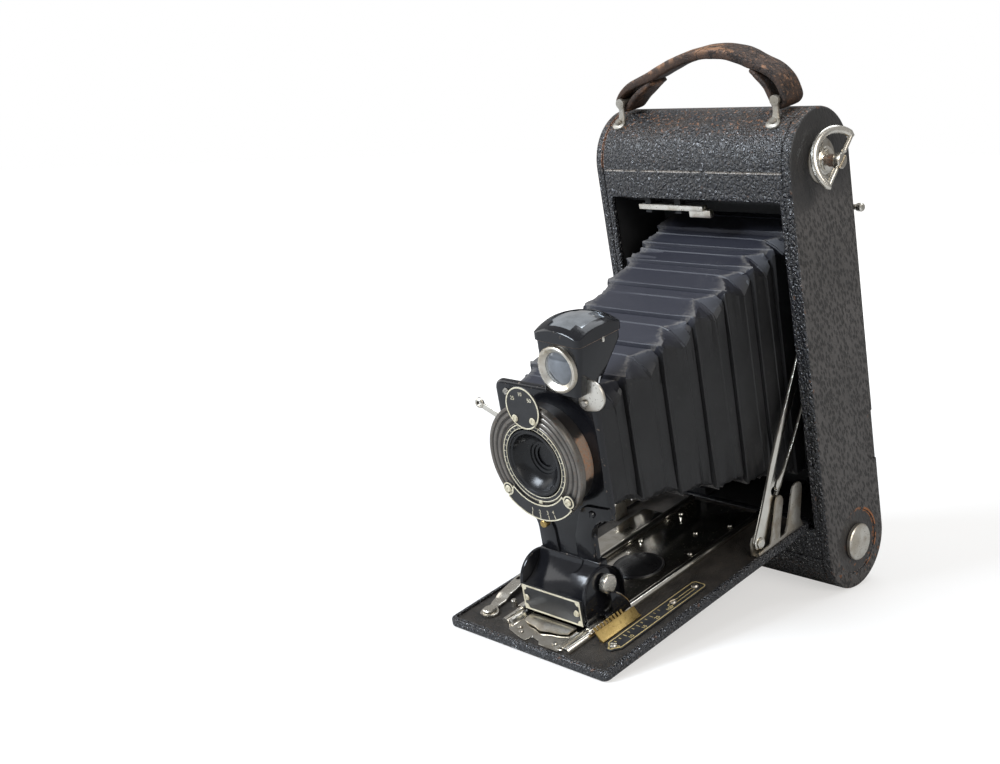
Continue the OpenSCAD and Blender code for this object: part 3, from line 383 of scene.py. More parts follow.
caseLeather, panelLeather = makeCaseLeather(), makePanelLeather()
enamel, nickel = makeEnamel(), makeNickel()
brightNickel = makeNickel("brightNickel", 0.3, 0.10)
agedNickel = makeNickel("agedNickel", 1.0, 0.26)
duskNickel = makeNickel("duskNickel", 1.2, 0.38, 0.62)
# the track plate's nickel is toned darker, a painted reflection of the dark bellows above it
trackNickel = makeNickel("trackNickel", 0.6, 0.08, 0.8)
bellowsLeather, strapLeather, barrelRust = makeBellowsLeather(), makeStrapLeather(), makeBarrelRust()
innerBlack = makeShaded("innerBlack", (0.006, 0.006, 0.0065), (0.014, 0.014, 0.0145), 0.6, 0.05)
bedLining = makeShaded("bedLining", (0.006, 0.005, 0.0044), (0.048, 0.041, 0.034), 0.48, 0.5, 0.9,
                       spots=(0.06, 0.045, 0.032, 0.5), level=0.35)
gunmetal = makeShaded("gunmetal", (0.135, 0.122, 0.108), (0.25, 0.23, 0.205), 0.3, 0.03, 1.0, 0.8,
                      (0.19, 0.10, 0.055, 0.4))
# a darker copy of the gunmetal for the sunk grooves of the shutter front, painted shade in the grooves
grooveShadeMetal = makeShaded("grooveShadeMetal", (0.045, 0.041, 0.037), (0.085, 0.077, 0.069), 0.38, 0.03, 1.0, 0.7)
rustBarrel = makeShaded("rustBarrel", (0.05, 0.035, 0.026), (0.30, 0.22, 0.17), 0.62, 0.2, 1.6, 0.25,
                        (0.36, 0.15, 0.06, 0.7))
plateBlack = makeShaded("plateBlack", (0.009, 0.009, 0.0095), (0.024, 0.0235, 0.0245), 0.42, 0.02, 1.0)
creamPaint = makeShaded("creamPaint", (0.50, 0.44, 0.30), (0.74, 0.69, 0.54), 0.42, 0.03, 1.4,
                        spots=(0.25, 0.2, 0.12, 0.6))
goldPaint = makeShaded("goldPaint", (0.40, 0.30, 0.12), (0.60, 0.48, 0.24), 0.4, 0.03, 1.4, 0.15)
brass = makeShaded("agedBrass", (0.36, 0.235, 0.075), (0.60, 0.43, 0.17), 0.3, 0.04, 1.0, 1.0,
                   (0.2, 0.12, 0.05, 0.5))
domeBlack = makeShaded("domeBlack", (0.004, 0.004, 0.0045), (0.010, 0.010, 0.011), 0.24, 0.02, 1.0)
blackGloss = makeShaded("funnelBlack", (0.004, 0.004, 0.0045), (0.008, 0.008, 0.009), 0.22, 0.01, 0.8,
                        level=0.4)
spoolWood = makeShaded("spoolWood", (0.16, 0.085, 0.04), (0.36, 0.22, 0.12), 0.5, 0.08, 0.9)
spoolRed = makeShaded("spoolRed", (0.13, 0.022, 0.016), (0.22, 0.04, 0.028), 0.4, 0.04, 0.9)
finderGlass = makeGlass("finderGlass", (0.60, 0.64, 0.68), 0.85, 0.05)
lensGlass = makeGlass("finderLensGlass", (0.20, 0.215, 0.235), 0.5, 0.06)
darkGlass = makeGlass("rearGlass", (0.02, 0.022, 0.03), 0.0, 0.03)
redGlass = makeGlass("redWindow", (0.20, 0.010, 0.008), 0.0, 0.05)
mirrorFace = makeGlass("mirrorFace", (0.82, 0.83, 0.84), 1.0, 0.02)
print("finishes made")


# mesh tools

def arc(cx, cy, r, a0, a1, steps):
    turns = [math.radians(a0 + (a1 - a0) * i / steps) for i in range(steps + 1)]
    return [(cx + r * math.cos(a), cy + r * math.sin(a)) for a in turns]


def roundRect(x0, x1, y0, y1, r, steps=5):
    return (arc(x1 - r, y0 + r, r, -90, 0, steps) + arc(x1 - r, y1 - r, r, 0, 90, steps)
            + arc(x0 + r, y1 - r, r, 90, 180, steps) + arc(x0 + r, y0 + r, r, 180, 270, steps))


def turnPoint(axis, a, b, t):
    return {"x": (t, a, b), "y": (a, t, b), "z": (a, b, t)}[axis]


def prism(bm, outline, low, high, axis="z"):
    rings = [[bm.verts.new(turnPoint(axis, a, b, t)) for a, b in outline] for t in (low, high)]
    count = len(outline)
    for ring in rings:
        bm.faces.new(ring)
    for i in range(count):
        j = (i + 1) % count
        bm.faces.new((rings[0][i], rings[0][j], rings[1][j], rings[1][i]))


def frameRing(bm, outer, inner, low, high, axis="z"):
    rows = [[bm.verts.new(turnPoint(axis, a, b, t)) for a, b in loop] for loop, t in
            ((outer, low), (outer, high), (inner, high), (inner, low))]
    count = len(outer)
    for k in range(4):
        for i in range(count):
            j = (i + 1) % count
            bm.faces.new((rows[k][i], rows[k][j], rows[(k + 1) % 4][j], rows[(k + 1) % 4][i]))


def block(bm, x, y, z):
    prism(bm, [(x[0], y[0]), (x[1], y[0]), (x[1], y[1]), (x[0], y[1])], z[0], z[1])


def loft(bm, rings):
    rows = [[bm.verts.new(p) for p in ring] for ring in rings]
    count = len(rows[0])
    for row, after in zip(rows, rows[1:]):
        for i in range(count):
            j = (i + 1) % count
            bm.faces.new((row[i], row[j], after[j], after[i]))
    bm.faces.new(rows[0])
    bm.faces.new(rows[-1])
    return rows


# profile is a list of (radius, place along the axis); closed profiles make rings
def lathe(bm, profile, centre=(0, 0, 0), axis="y", steps=72, closed=False):
    turns = [2 * math.pi * i / steps for i in range(steps)]
    rows = []
    for r, t in profile:
        ring = [(r * math.cos(a), r * math.sin(a)) for a in turns] if r > 1e-6 else [(0, 0)]
        points = [turnPoint(axis, a, b, t) for a, b in ring]
        rows.append([bm.verts.new([c + v for c, v in zip(centre, p)]) for p in points])
    pairs = list(zip(rows, rows[1:])) + ([(rows[-1], rows[0])] if closed else [])
    for one, two in pairs:
        for i in range(steps):
            j = (i + 1) % steps
            ring = [one[i % len(one)], one[j % len(one)], two[j % len(two)], two[i % len(two)]]
            kept = [v for n, v in enumerate(ring) if v not in ring[:n]]
            if len(kept) > 2:
                bm.faces.new(kept)


# a turned solid, one cut from a plate, one lofted and one for a round hole
def turned(profile, centre=(0, 0, 0), axis="y", steps=72, closed=False):
    bm = bmesh.new()
    lathe(bm, profile, centre, axis, steps, closed)
    return bm


def cutPlate(outline, low, high, axis="z"):
    bm = bmesh.new()
    prism(bm, outline, low, high, axis)
    return bm


def lofted(rings):
    bm = bmesh.new()
    loft(bm, rings)
    return bm


def bore(r, low, high, centre=(0, 0, 0), axis="y", steps=48):
    return turned([(0, low), (r, low), (r, high), (0, high)], centre, axis, steps)


def turnShape(bm, matrix):
    bmesh.ops.transform(bm, matrix=matrix, verts=bm.verts)
    return bm


def spin(degrees, axis):
    return Matrix.Rotation(math.radians(degrees), 4, axis)


# rounds the edges sharper than angle and marks them as worn
def soften(bm, width, segments=3, angle=40, pick=None):
    bmesh.ops.recalc_face_normals(bm, faces=bm.faces)
    limit = math.radians(angle)
    edges = [e for e in bm.edges if len(e.link_faces) == 2 and e.calc_face_angle(0) > limit
             and (pick is None or pick(e))]
    layer = bm.verts.layers.float.get("wear") or bm.verts.layers.float.new("wear")
    made = bmesh.ops.bevel(bm, geom=edges, offset=width, offset_type="OFFSET", segments=segments, profile=0.5,
                           affect="EDGES", clamp_overlap=True)
    fresh = set(made["faces"])
    for v in made["verts"]:
        if v.is_valid and all(f in fresh for f in v.link_faces):
            v[layer] = 1.0


# the plain mesh of an object with its modifiers applied
def evaluated(obj):
    bpy.context.view_layer.update()
    return bpy.data.meshes.new_from_object(obj.evaluated_get(bpy.context.evaluated_depsgraph_get()))


def carve(bm, *cutters):
    def asObject(shape):
        bmesh.ops.recalc_face_normals(shape, faces=shape.faces)
        mesh = bpy.data.meshes.new("carving")
        shape.to_mesh(mesh)
        shape.free()
        obj = bpy.data.objects.new("carving", mesh)
        bpy.context.scene.collection.objects.link(obj)
        return obj
    body = asObject(bm)
    tools = [asObject(c) for c in cutters]
    for tool in tools:
        cut = body.modifiers.new("cut", "BOOLEAN")
        cut.operation, cut.solver, cut.object = "DIFFERENCE", "EXACT", tool
    mesh = evaluated(body)
    out = bmesh.new()
    out.from_mesh(mesh)
    for obj in [body] + tools:
        old = obj.data
        bpy.data.objects.remove(obj)
        bpy.data.meshes.remove(old)
    bpy.data.meshes.remove(mesh)
    return out


def solid(*parts):
    bm = bmesh.new()
    for part in parts:
        part(bm)
    return bm


def join(bm, *extras):
    for extra in extras:
        mesh = bpy.data.meshes.new("part")
        extra.to_mesh(mesh)
        extra.free()
        bm.from_mesh(mesh)
        bpy.data.meshes.remove(mesh)
    return bm


# every finished piece: merged, shaded, placed, painted, and riding on its body
def placePiece(name, bm, place, body, materials, hides=(), sharp=32, choose=None):
    bmesh.ops.remove_doubles(bm, verts=bm.verts, dist=1e-5)
    bmesh.ops.recalc_face_normals(bm, faces=bm.faces)
    for f in bm.faces:
        f.smooth = True
        if choose:
            f.material_index = choose(f)
    for e in bm.edges:
        if len(e.link_faces) == 2:
            e.smooth = e.calc_face_angle(0) < math.radians(sharp)
    mesh = bpy.data.meshes.new(name)
    turnShape(bm, place).to_mesh(mesh)
    bm.free()
    for m in materials if isinstance(materials, (list, tuple)) else [materials]:
        mesh.materials.append(m)
    obj = bpy.data.objects.new(name, mesh)
    bpy.context.scene.collection.objects.link(obj)
    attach(obj, body)
    if hides:
        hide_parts(*hides)
    return obj


def repaint(material, *names):
    for name in names:
        mesh = cad[name].data
        mesh.materials.clear()
        mesh.materials.append(material)


# node trees that repeat a shape

def newTree(name, inputs):
    tree = bpy.data.node_groups.new(name, "GeometryNodeTree")
    tree.interface.new_socket("Geometry", in_out="INPUT", socket_type="NodeSocketGeometry")
    for label, kind in inputs:
        tree.interface.new_socket(label, in_out="INPUT", socket_type=kind)
    tree.interface.new_socket("Geometry", in_out="OUTPUT", socket_type="NodeSocketGeometry")
    start = tree.nodes.new("NodeGroupInput")
    return tree, {s.name: Wire(tree, s) for s in start.outputs if s.name}


def endTree(tree, shape, material):
    whole = addNode(tree, "GeometryNodeRealizeInstances", None, {"Geometry": shape})
    painted = addNode(tree, "GeometryNodeSetMaterial", None, {"Geometry": whole, "Material": material})
    finish = tree.nodes.new("NodeGroupOutput")
    tree.links.new(painted.socket, finish.inputs[0])
    return tree


def headTree():
    tree, given = newTree("screwHeads", [("Radius", "NodeSocketFloat"), ("Height", "NodeSocketFloat"),
                                         ("Slot", "NodeSocketFloat"), ("Material", "NodeSocketMaterial")])
    head = addNode(tree, "GeometryNodeMeshCone", None, {
        "Vertices": 28, "Side Segments": 2, "Radius Top": given["Radius"] * 0.8,
        "Radius Bottom": given["Radius"], "Depth": given["Height"]})
    size = addNode(tree, "ShaderNodeCombineXYZ", None,
                   {0: given["Radius"] * 3.0, 1: given["Slot"], 2: given["Height"]})
    groove = addNode(tree, "GeometryNodeMeshCube", None, {"Size": size})
    raised = addNode(tree, "ShaderNodeCombineXYZ", None, {2: given["Height"] * 1.2})
    lifted = addNode(tree, "GeometryNodeTransform", None, {"Geometry": groove, "Translation": raised})
    slotted = addNode(tree, "GeometryNodeMeshBoolean", {"operation": "DIFFERENCE"},
                      {"Mesh 1": head, "Mesh 2": lifted})
    turn = addNode(tree, "GeometryNodeInputNamedAttribute", {"data_type": "FLOAT_VECTOR"}, {"Name": "turn"})
    spread = addNode(tree, "GeometryNodeInstanceOnPoints", None, {
        "Points": given["Geometry"], "Instance": slotted, "Rotation": turn})
    return endTree(tree, spread, given["Material"])


def ringTree():
    tree, given = newTree("ringOfRidges", [("Count", "NodeSocketInt"), ("Radius", "NodeSocketFloat"),
                                           ("Length", "NodeSocketFloat"), ("Ridge", "NodeSocketFloat"),
                                           ("Material", "NodeSocketMaterial")])
    circle = addNode(tree, "GeometryNodeMeshCircle", None,
                     {"Vertices": given["Count"], "Radius": given["Radius"]})
    ridge = addNode(tree, "GeometryNodeMeshCylinder", None, {"Vertices": 6, "Radius": given["Ridge"],
                                                             "Depth": given["Length"]})
    placed = addNode(tree, "GeometryNodeInstanceOnPoints", None, {"Points": circle, "Instance": ridge})
    joined = addNode(tree, "GeometryNodeJoinGeometry", None, {"Geometry": placed})
    tree.links.new(given["Geometry"].socket, joined.socket.node.inputs[0])
    return endTree(tree, joined, given["Material"])


def rowTree():
    tree, given = newTree("rowOfTeeth", [("Count", "NodeSocketInt"), ("Step", "NodeSocketVector"),
                                         ("Size", "NodeSocketVector"), ("Material", "NodeSocketMaterial")])
    line = addNode(tree, "GeometryNodeMeshLine", None, {"Count": given["Count"], "Offset": given["Step"]})
    tooth = addNode(tree, "GeometryNodeMeshCube", None, {"Size": given["Size"]})
    placed = addNode(tree, "GeometryNodeInstanceOnPoints", None, {"Points": line, "Instance": tooth})
    joined = addNode(tree, "GeometryNodeJoinGeometry", None, {"Geometry": placed})
    tree.links.new(given["Geometry"].socket, joined.socket.node.inputs[0])
    return endTree(tree, joined, given["Material"])


trees = {"heads": headTree(), "ring": ringTree(), "row": rowTree()}


# runs a tree on a starting mesh, in millimetres, and keeps the plain result
def growMesh(treeName, start, values):
    tree = trees[treeName]
    obj = bpy.data.objects.new("growing", start)
    bpy.context.scene.collection.objects.link(obj)
    mod = obj.modifiers.new("grow", "NODES")
    mod.node_group = tree
    for item in tree.interface.items_tree:
        if item.in_out == "INPUT" and item.name in values:
            mod[item.identifier] = values[item.name]
    mesh = evaluated(obj)
    obj.modifiers.remove(mod)
    bpy.data.objects.remove(obj)
    return mesh


def finishGrown(name, mesh, place, body, hides=(), sharp=32):
    bm = bmesh.new()
    bm.from_mesh(mesh)
    paint = list(mesh.materials)
    bpy.data.meshes.remove(mesh)
    return placePiece(name, bm, place, body, paint, hides, sharp)


# a row of teeth or a ring of ridges joined to a solid
def addGrown(bm, treeName, values, place):
    mesh = growMesh(treeName, bpy.data.meshes.new(treeName), values)
    mesh.transform(place)
    bm.from_mesh(mesh)
    bpy.data.meshes.remove(mesh)


# spots are (place, direction the head faces, twist of the slot)
def screwHeads(name, spots, radius, height, place, body, material, hides=(), groove=0.24):
    mesh = bpy.data.meshes.new(name)
    mesh.from_pydata([Vector(p) + Vector(d).normalized() * height * 0.45 for p, d, t in spots], [], [])
    turn = mesh.attributes.new("turn", "FLOAT_VECTOR", "POINT")
    for i, (p, d, t) in enumerate(spots):
        q = Vector(d).to_track_quat("Z", "Y").to_matrix() @ Matrix.Rotation(math.radians(t), 3, "Z")
        turn.data[i].vector = q.to_euler()
    grown = growMesh("heads", mesh, {"Radius": radius, "Height": height, "Slot": radius * groove * 2,
                                     "Material": material})
    return finishGrown(name, grown, place, body, hides)


plainHead = 0.0001  # a groove too thin to see, for rivets


# case

panel = {"edge": 1.35, "scoop": (33.5, 52.0, 75.0), "scoopDepth": 1.1, "bushZ": 105, "frontLow": 34.4}


def makePanel(side):
    inner, outer = case["halfIn"] * side, case["halfW"] * side
    bm = cutPlate(arc(endR, endR, endR, 180, 360, 56) + arc(endR, seamZ, endR, 0, 180, 56), inner, outer, "x")
    soften(bm, panel["edge"], 4, 50, lambda e: all(abs(v.co.x - outer) < 0.01 for v in e.verts))
    soften(bm, 0.4, 2, 50, lambda e: all(abs(v.co.x - inner) < 0.01 for v in e.verts))
    if side > 0:
        disc = turned([(0, 49.2), (13.4, 49.2), (14.0, 49.5), (14.6, 50.5), (0, 50.5)], footAxis, "x")
        y0, z0, z1 = panel["scoop"]
        scoop = cutPlate(roundRect(y0, y0 + 30, z0, z1, 8.0, 10), outer - panel["scoopDepth"], 52, "x")
        holes = bore(4.5, 40, 49.9, footAxis, "x", 32), bore(3.3, 40, 55, topAxis, "x", 32)
        bm = carve(bm, disc, *holes, scoop)
    else:
        bm = carve(bm, bore(7.5, -55, -40, (0, endR, panel["bushZ"]), "x"))
    name, node = ("sidePanelRight", "side_panel_right") if side > 0 else ("sidePanelLeft", "side_panel_left")
    placePiece(name, bm, onBody, "body", [caseLeather, panelLeather], [node], 30,
               lambda f: 1 if abs(f.normal.x) > 0.8 else 0)


def makeCase():
    makePanel(1)
    makePanel(-1)
    inside = endR - case["shell"]
    # front frame round the bay, with a soft lip
    half, gap, low, high = case["halfIn"], case["openX"], panel["frontLow"], case["openTop"]
    bm = bmesh.new()
    frameRing(bm, [(-half, endR), (half, endR), (half, seamZ), (-half, seamZ)],
              [(-gap, low), (gap, low), (gap, high), (-gap, high)], 0, 2.5, "y")
    soften(bm, 0.75, 3)
    placePiece("frontFrame", bm, onBody, "body", caseLeather, ["front_frame"])
    for name, node, z, a0, a1 in (("topEndCap", "top_end_cap", seamZ, 70, 180),
                                  ("bottomEndCap", "bottom_end_cap", endR, 180, 290)):
        bm = cutPlate(arc(endR, z, endR, a0, a1, 48) + arc(endR, z, inside, a1, a0, 48), -45.85, 45.85, "x")
        soften(bm, 0.5, 3, 50)
        placePiece(name, bm, onBody, "body", caseLeather, [node])
    # back cover: one bent sheet with the writing slot and the window hole
    sheet = arc(endR, endR, endR, -69, 0, 36) + arc(endR, seamZ, endR, 0, 69, 36)
    sheet += arc(endR, seamZ, inside, 69, 0, 36) + arc(endR, endR, inside, 0, -69, 36)
    bm = cutPlate(sheet, -45.7, 45.7, "x")
    soften(bm, 0.5, 3, 50)
    slotCut = cutPlate(roundRect(-11, 39, 158, 168, 1.0), 38, 44, "y")
    bm = carve(bm, slotCut, bore(5.2, 38, 44, back["window"]))
    # two knuckles for the writing door
    outline = [(41.5, 151.9)] + arc(*back["hinge"], 1.2, -90, 90, 8) + [(41.5, 154.3)]
    for x in (-17.7, 43.3):
        knuckle = cutPlate(outline, x, x + 2.4, "x")
        soften(knuckle, 0.2, 2)
        join(bm, knuckle)
    placePiece("backCover", bm, onBody, "back_cover", caseLeather, ["back_cover"])


back = {"window": (0, 0, 68.6), "hinge": (43.5, 153.1), "stylus": (0, 45.7, 163), "clips": (20, 38)}


def makeBackFittings():
    bm = turned([(0, 40.4), (5.0, 40.4), (5.0, 42.0), (4.4, 42.35), (0, 42.5)], back["window"])
    placePiece("redWindowGlass", bm, onBody, "back_cover", redGlass, ["red_window"])
    bm = turned([(4.7, 41.9), (4.7, 42.6), (5.2, 42.85), (6.4, 42.75), (7.0, 42.3), (7.0, 42.0)],
                back["window"], closed=True)
    placePiece("windowRim", bm, onBody, "back_cover", nickel, ())
    # writing door with a rolled hinge edge and two clips for the stylus
    bm = cutPlate(roundRect(-15, 43, 154.4, 171.6, 1.6), 42.3, 43.5, "y")
    soften(bm, 0.35, 3)
    roll = bore(1.2, -15, 43, (0,) + back["hinge"], "x", 24)
    join(bm, roll, cutPlate(roundRect(-12, 40, 157.2, 168.8, 1.2), 43.4, 43.75, "y"))
    placePiece("writingDoor", bm, onBody, "autographic_door", caseLeather, ["autographic_door"])
    bm = bmesh.new()
    penY, penZ = back["stylus"][1:]
    for x in back["clips"]:
        prism(bm, arc(penY, penZ, 2.2, -30, 210, 20) + arc(penY, penZ, 1.5, 210, -30, 20), x, x + 3, "x")
        prism(bm, [(43.4, 160.4), (44.1, 160.4), (44.1, 165.6), (43.4, 165.6)], x, x + 3, "x")
    placePiece("stylusClips", bm, onBody, "autographic_door", nickel, ())
    bm = turned([(0, 16.0), (0.35, 16.1), (1.1, 20), (1.2, 21), (1.2, 48.2), (1.55, 48.6), (1.8, 49.2),
                 (1.8, 50.8), (1.4, 51.4), (0, 51.6)], back["stylus"], "x", 32)
    placePiece("stylusRod", bm, onBody, "stylus", nickel, ["stylus"])
    bm = turned([(7.4, -50.15), (7.5, -49.9), (7.5, -43.6), (0, -43.6), (0, -44.4), (2.3, -44.4),
                 (2.55, -49.4), (3.0, -50.0), (4.2, -50.2)], (0, endR, panel["bushZ"]), "x", 64, True)
    placePiece("sideTripodBush", bm, onBody, "body", nickel, ["side_tripod_bush"])


# winding key, spool pin and spools

key = {"bowR": 13.9, "bowW": 3.2, "bowT": 2.7, "hingeX": 58.6, "fold": 112, "turn": -50, "ears": (25, 205)}


def makeKey():
    bm = turned([(9.0, 50.0), (9.0, 50.5), (8.6, 50.9), (7.4, 51.05), (6.9, 51.3), (3.4, 51.3), (3.4, 50.0)],
                topAxis, "x", 72, True)
    placePiece("keyEscutcheon", bm, onBody, "body", duskNickel, ["key_escutcheon"])
    bm = turned([(0, 29.6), (2.3, 29.8), (2.3, 35.6), (5.0, 35.6), (5.0, 45.6), (3.0, 45.6), (3.0, 51.5),
                 (5.4, 51.6), (5.6, 51.9), (5.6, 52.6), (5.2, 53.0), (4.3, 53.1), (4.2, 53.8), (3.2, 54.0),
                 (2.5, 54.2), (2.5, 57.2), (3.1, 57.4), (3.2, 57.8), (3.2, 59.6), (2.8, 60.0), (0, 60.05)],
                topAxis, "x", 56)
    onKey = Matrix.Translation(topAxis)
    slit = solid(lambda b: block(b, (57.4, 62), (-0.65, 0.65), (-9, 9)))
    bm = carve(bm, turnShape(slit, onKey @ spin(key["turn"], "X")))
    # two short ears on the collar
    for a in key["ears"]:
        ear = solid(lambda b: block(b, (51.6, 52.8), (-1.6, 1.6), (4.8, 7.2)))
        join(bm, turnShape(ear, onKey @ spin(a, "X")))
    placePiece("windingShaft", bm, onBody, "winding_key", [nickel, rustBarrel], ["winding_key"], 30,
               lambda f: 1 if 54.1 < f.calc_center_median().x < 57.3 else 0)
    # the bow is a cast C whose tips pass a thin pin that it folds on
    mid, rings = key["bowR"] - key["bowW"] / 2, []
    for k in range(49):
        a = math.radians(-95 + 190 * k / 48)
        size = min(1.0, 0.5 + 0.25 * min(k, 48 - k))
        ring = []
        for b in [2 * math.pi * i / 12 for i in range(12)]:
            r = mid + key["bowW"] / 2 * size * math.cos(b)
            ring.append((r * math.cos(a), key["bowT"] / 2 * size * math.sin(b), r * math.sin(a)))
        rings.append(ring)
    pin = turned([(0, -12.4), (1.0, -12.4), (1.05, -4.4), (0.6, -3.7), (0.6, 3.7), (1.05, 4.4), (1.0, 12.4),
                  (0, 12.4)], (0, 0, 0), "z", 20)
    bowPlace = (onBody @ Matrix.Translation((key["hingeX"], endR, seamZ)) @ spin(key["turn"], "X")
                @ spin(-key["fold"], "Z"))
    placePiece("keyBow", join(lofted(rings), pin), bowPlace, "key_bow", nickel, ["key_bow"])
    bm = turned([(0, 29.8), (2.3, 30.0), (2.3, 35.6), (4.2, 35.6), (4.2, 49.4), (7.6, 49.5), (8.0, 49.8),
                 (8.0, 51.2), (7.6, 51.6), (6.6, 51.78), (0, 51.8)], footAxis, "x", 64)
    placePiece("spoolPin", bm, onBody, "spool_pin", agedNickel, ["spool_pin"])
    half = [(2.6, 29), (2.6, 35), (12.7, 35), (13.0, 34.8), (13.0, 34.2), (12.7, 34), (4.2, 34)]
    profile = [(0, -29)] + [(r, -t) for r, t in half] + [(r, t) for r, t in reversed(half)] + [(0, 29)]
    spools = (("takeUpSpool", "take_up_spool", "winding_key", topAxis, spoolWood),
              ("supplySpool", "supply_spool", "supply_spool", footAxis, spoolRed))
    for name, node, body, axis, paint in spools:
        placePiece(name, turned(profile, axis, "x", 56), onBody, body, [paint, plateBlack], [node],
                   32, lambda f: 1 if abs(f.calc_center_median().x) > 33.9 else 0)


# handle

strap = {"left": -40.6, "right": 38.4, "z": 215.0, "rise": 18.8, "y": 19.0, "width": 13.0, "thick": 4.4,
         "wrap": 2.9, "leftTail": 0.20, "rightTail": 0.85, "tabR": 21.62, "rivetR": 22.15, "rivetA": 124}


def strapMid(u):
    arch = max(0.0, math.sin(math.pi * u ** 1.38)) ** 0.56
    return Vector((strap["left"] + (strap["right"] - strap["left"]) * u, strap["rise"] * arch))


def strapSide(u):
    d = strapMid(min(u + 0.02, 1)) - strapMid(max(u - 0.02, 0))
    return Vector((-d.y, d.x)).normalized()


def strapLoop(middle, side):
    start = math.degrees(math.atan2(side.y, side.x))
    turns = [math.radians(start - 180 * i / 14) for i in range(1, 14)]
    return [middle + Vector((math.cos(a), math.sin(a))) * strap["wrap"] for a in turns]


def strapPath():
    wrap, path = strap["wrap"], []
    for i in range(12):  # left tail, running down under the arch to the loop
        u = strap["leftTail"] + (0.03 - strap["leftTail"]) * i / 11
        path.append(strapMid(u) - strapSide(u) * (wrap - 0.9 * (1 - i / 11)))
    path += strapLoop(strapMid(0), -strapSide(0.0))
    for i in range(1, 56):  # over the arch
        u = i / 56
        near = max(0.0, 1 - u / 0.24, 1 - (1 - u) / 0.16)
        path.append(strapMid(u) + strapSide(u) * wrap * near * near * (3 - 2 * near))
    path += strapLoop(strapMid(1), strapSide(1.0))
    for i in range(10):  # right tail
        u = 0.97 + (strap["rightTail"] - 0.97) * i / 9
        path.append(strapMid(u) - strapSide(u) * (wrap - 0.7 * (i / 9)))
    return path


# unit direction across a flat path at its point k
def acrossPath(path, k):
    d = (path[min(k + 1, len(path) - 1)] - path[max(k - 1, 0)]).normalized()
    return Vector((-d.y, d.x))


def makeStrap():
    path = strapPath()
    last = len(path) - 1
    # outline of the section, from its lower left corner round
    section = ((-1, -0.5), (-0.93, -1), (-0.5, -1.02), (0, -1.05), (0.5, -1.02), (0.93, -1), (1, -0.5),
               (1, 0.5), (0.93, 1), (0.5, 1.06), (0, 1.1), (-0.5, 1.06), (-0.93, 1), (-1, 0.5))
    rings, tops = [], []
    for k, p in enumerate(path):
        n = acrossPath(path, k)
        ends = min(k / 6, (last - k) / 5, 1.0)
        half = strap["width"] / 2 * (0.72 + 0.28 * math.sqrt(max(ends, 0.0)))
        thick = strap["thick"] / 2 * (0.58 + 0.42 * min(1, max(0, min(k - 24, last - k - 22) / 12)))
        ring = []
        for w, t in section:
            wave = noise.noise(Vector((k * 0.23, w * 1.4, t)))
            edge = noise.noise(Vector((k * 0.7, w * 3, 5.0))) * (0.5 if abs(w) > 0.9 else 0.12)
            if k < 5 and abs(w) > 0.4:
                edge += noise.noise(Vector((k * 1.9, w * 5, 9.0))) * 1.2
            q = p + n * (t * thick + wave * 0.35)
            ring.append((q.x, strap["y"] + w * half + edge, strap["z"] + q.y))
            tops.append(1.0 if t > 0.9 and 24 < k < last - 20 else (0.55 if t > 0 else 0.0))
        rings.append(ring)
    bm = bmesh.new()
    layer = bm.verts.layers.float.new("top")
    rows = loft(bm, rings)
    for v, value in zip([v for row in rows for v in row], tops):
        v[layer] = value
    obj = placePiece("handleStrap", bm, onBody, "body", strapLeather, ["handle_strap"], 80)
    smooth = obj.modifiers.new("soft", "SUBSURF")
    smooth.levels = smooth.render_levels = 2


def makeTabs():
    # spoon-shaped tabs that follow the round top and turn up into the loops
    bm = bmesh.new()
    heads = []
    bends = [math.radians(a) for a in (132.5, 131.5, 129.5, 127, 124, 121, 118.5)]
    line = [Vector((endR + strap["tabR"] * math.cos(a), seamZ + strap["tabR"] * math.sin(a))) for a in bends]
    line += [Vector((11.2, 210.4)), Vector((11.5, 213)), Vector((11.5, 216.2))]
    widths = (0.7, 1.8, 2.6, 3.0, 3.0, 2.4, 1.7, 1.3, 1.3, 2.0)
    section = ((-1, -1), (1, -1), (1, 0.5), (0.82, 1), (-0.82, 1), (-1, 0.5))
    a = math.radians(strap["rivetA"])
    out = Vector((0, math.cos(a), math.sin(a)))
    for x in (strap["left"], strap["right"]):
        rings = []
        for k, (p, wide) in enumerate(zip(line, widths)):
            n = acrossPath(line, k) * 0.55
            rings.append([(x + w * wide, p.x + n.x * t, p.y + n.y * t) for w, t in section])
        loft(bm, rings)
        loop = (x, 0, strap["z"])
        lathe(bm, [(0, 11.0), (1.3, 11.0), (1.3, 25.6), (0, 25.9)], loop, "y", 24)
        lathe(bm, [(2.1, 10.6), (2.1, 12.0), (0, 12.3), (0, 10.4)], loop, "y", 24, True)
        heads.append((Vector((x, endR, seamZ)) + out * strap["rivetR"], out, 30))
    placePiece("handleTabs", bm, onBody, "body", duskNickel, ["handle_tabs"])
    screwHeads("tabRivets", heads, 1.5, 0.8, onBody, "body", duskNickel, groove=plainHead)


# bed

bed = {"halfW": 42.3, "front": -133.8, "back": -0.3, "rim": 2.0, "corner": 2.6, "railX": 18.5, "railR": 1.8,
       "railEnds": (-124.6, -129.3), "trackBack": -3, "bush": (0, -64, 0), "catchHalf": 11.6,
       "catchY": (-123.6, -115.2)}


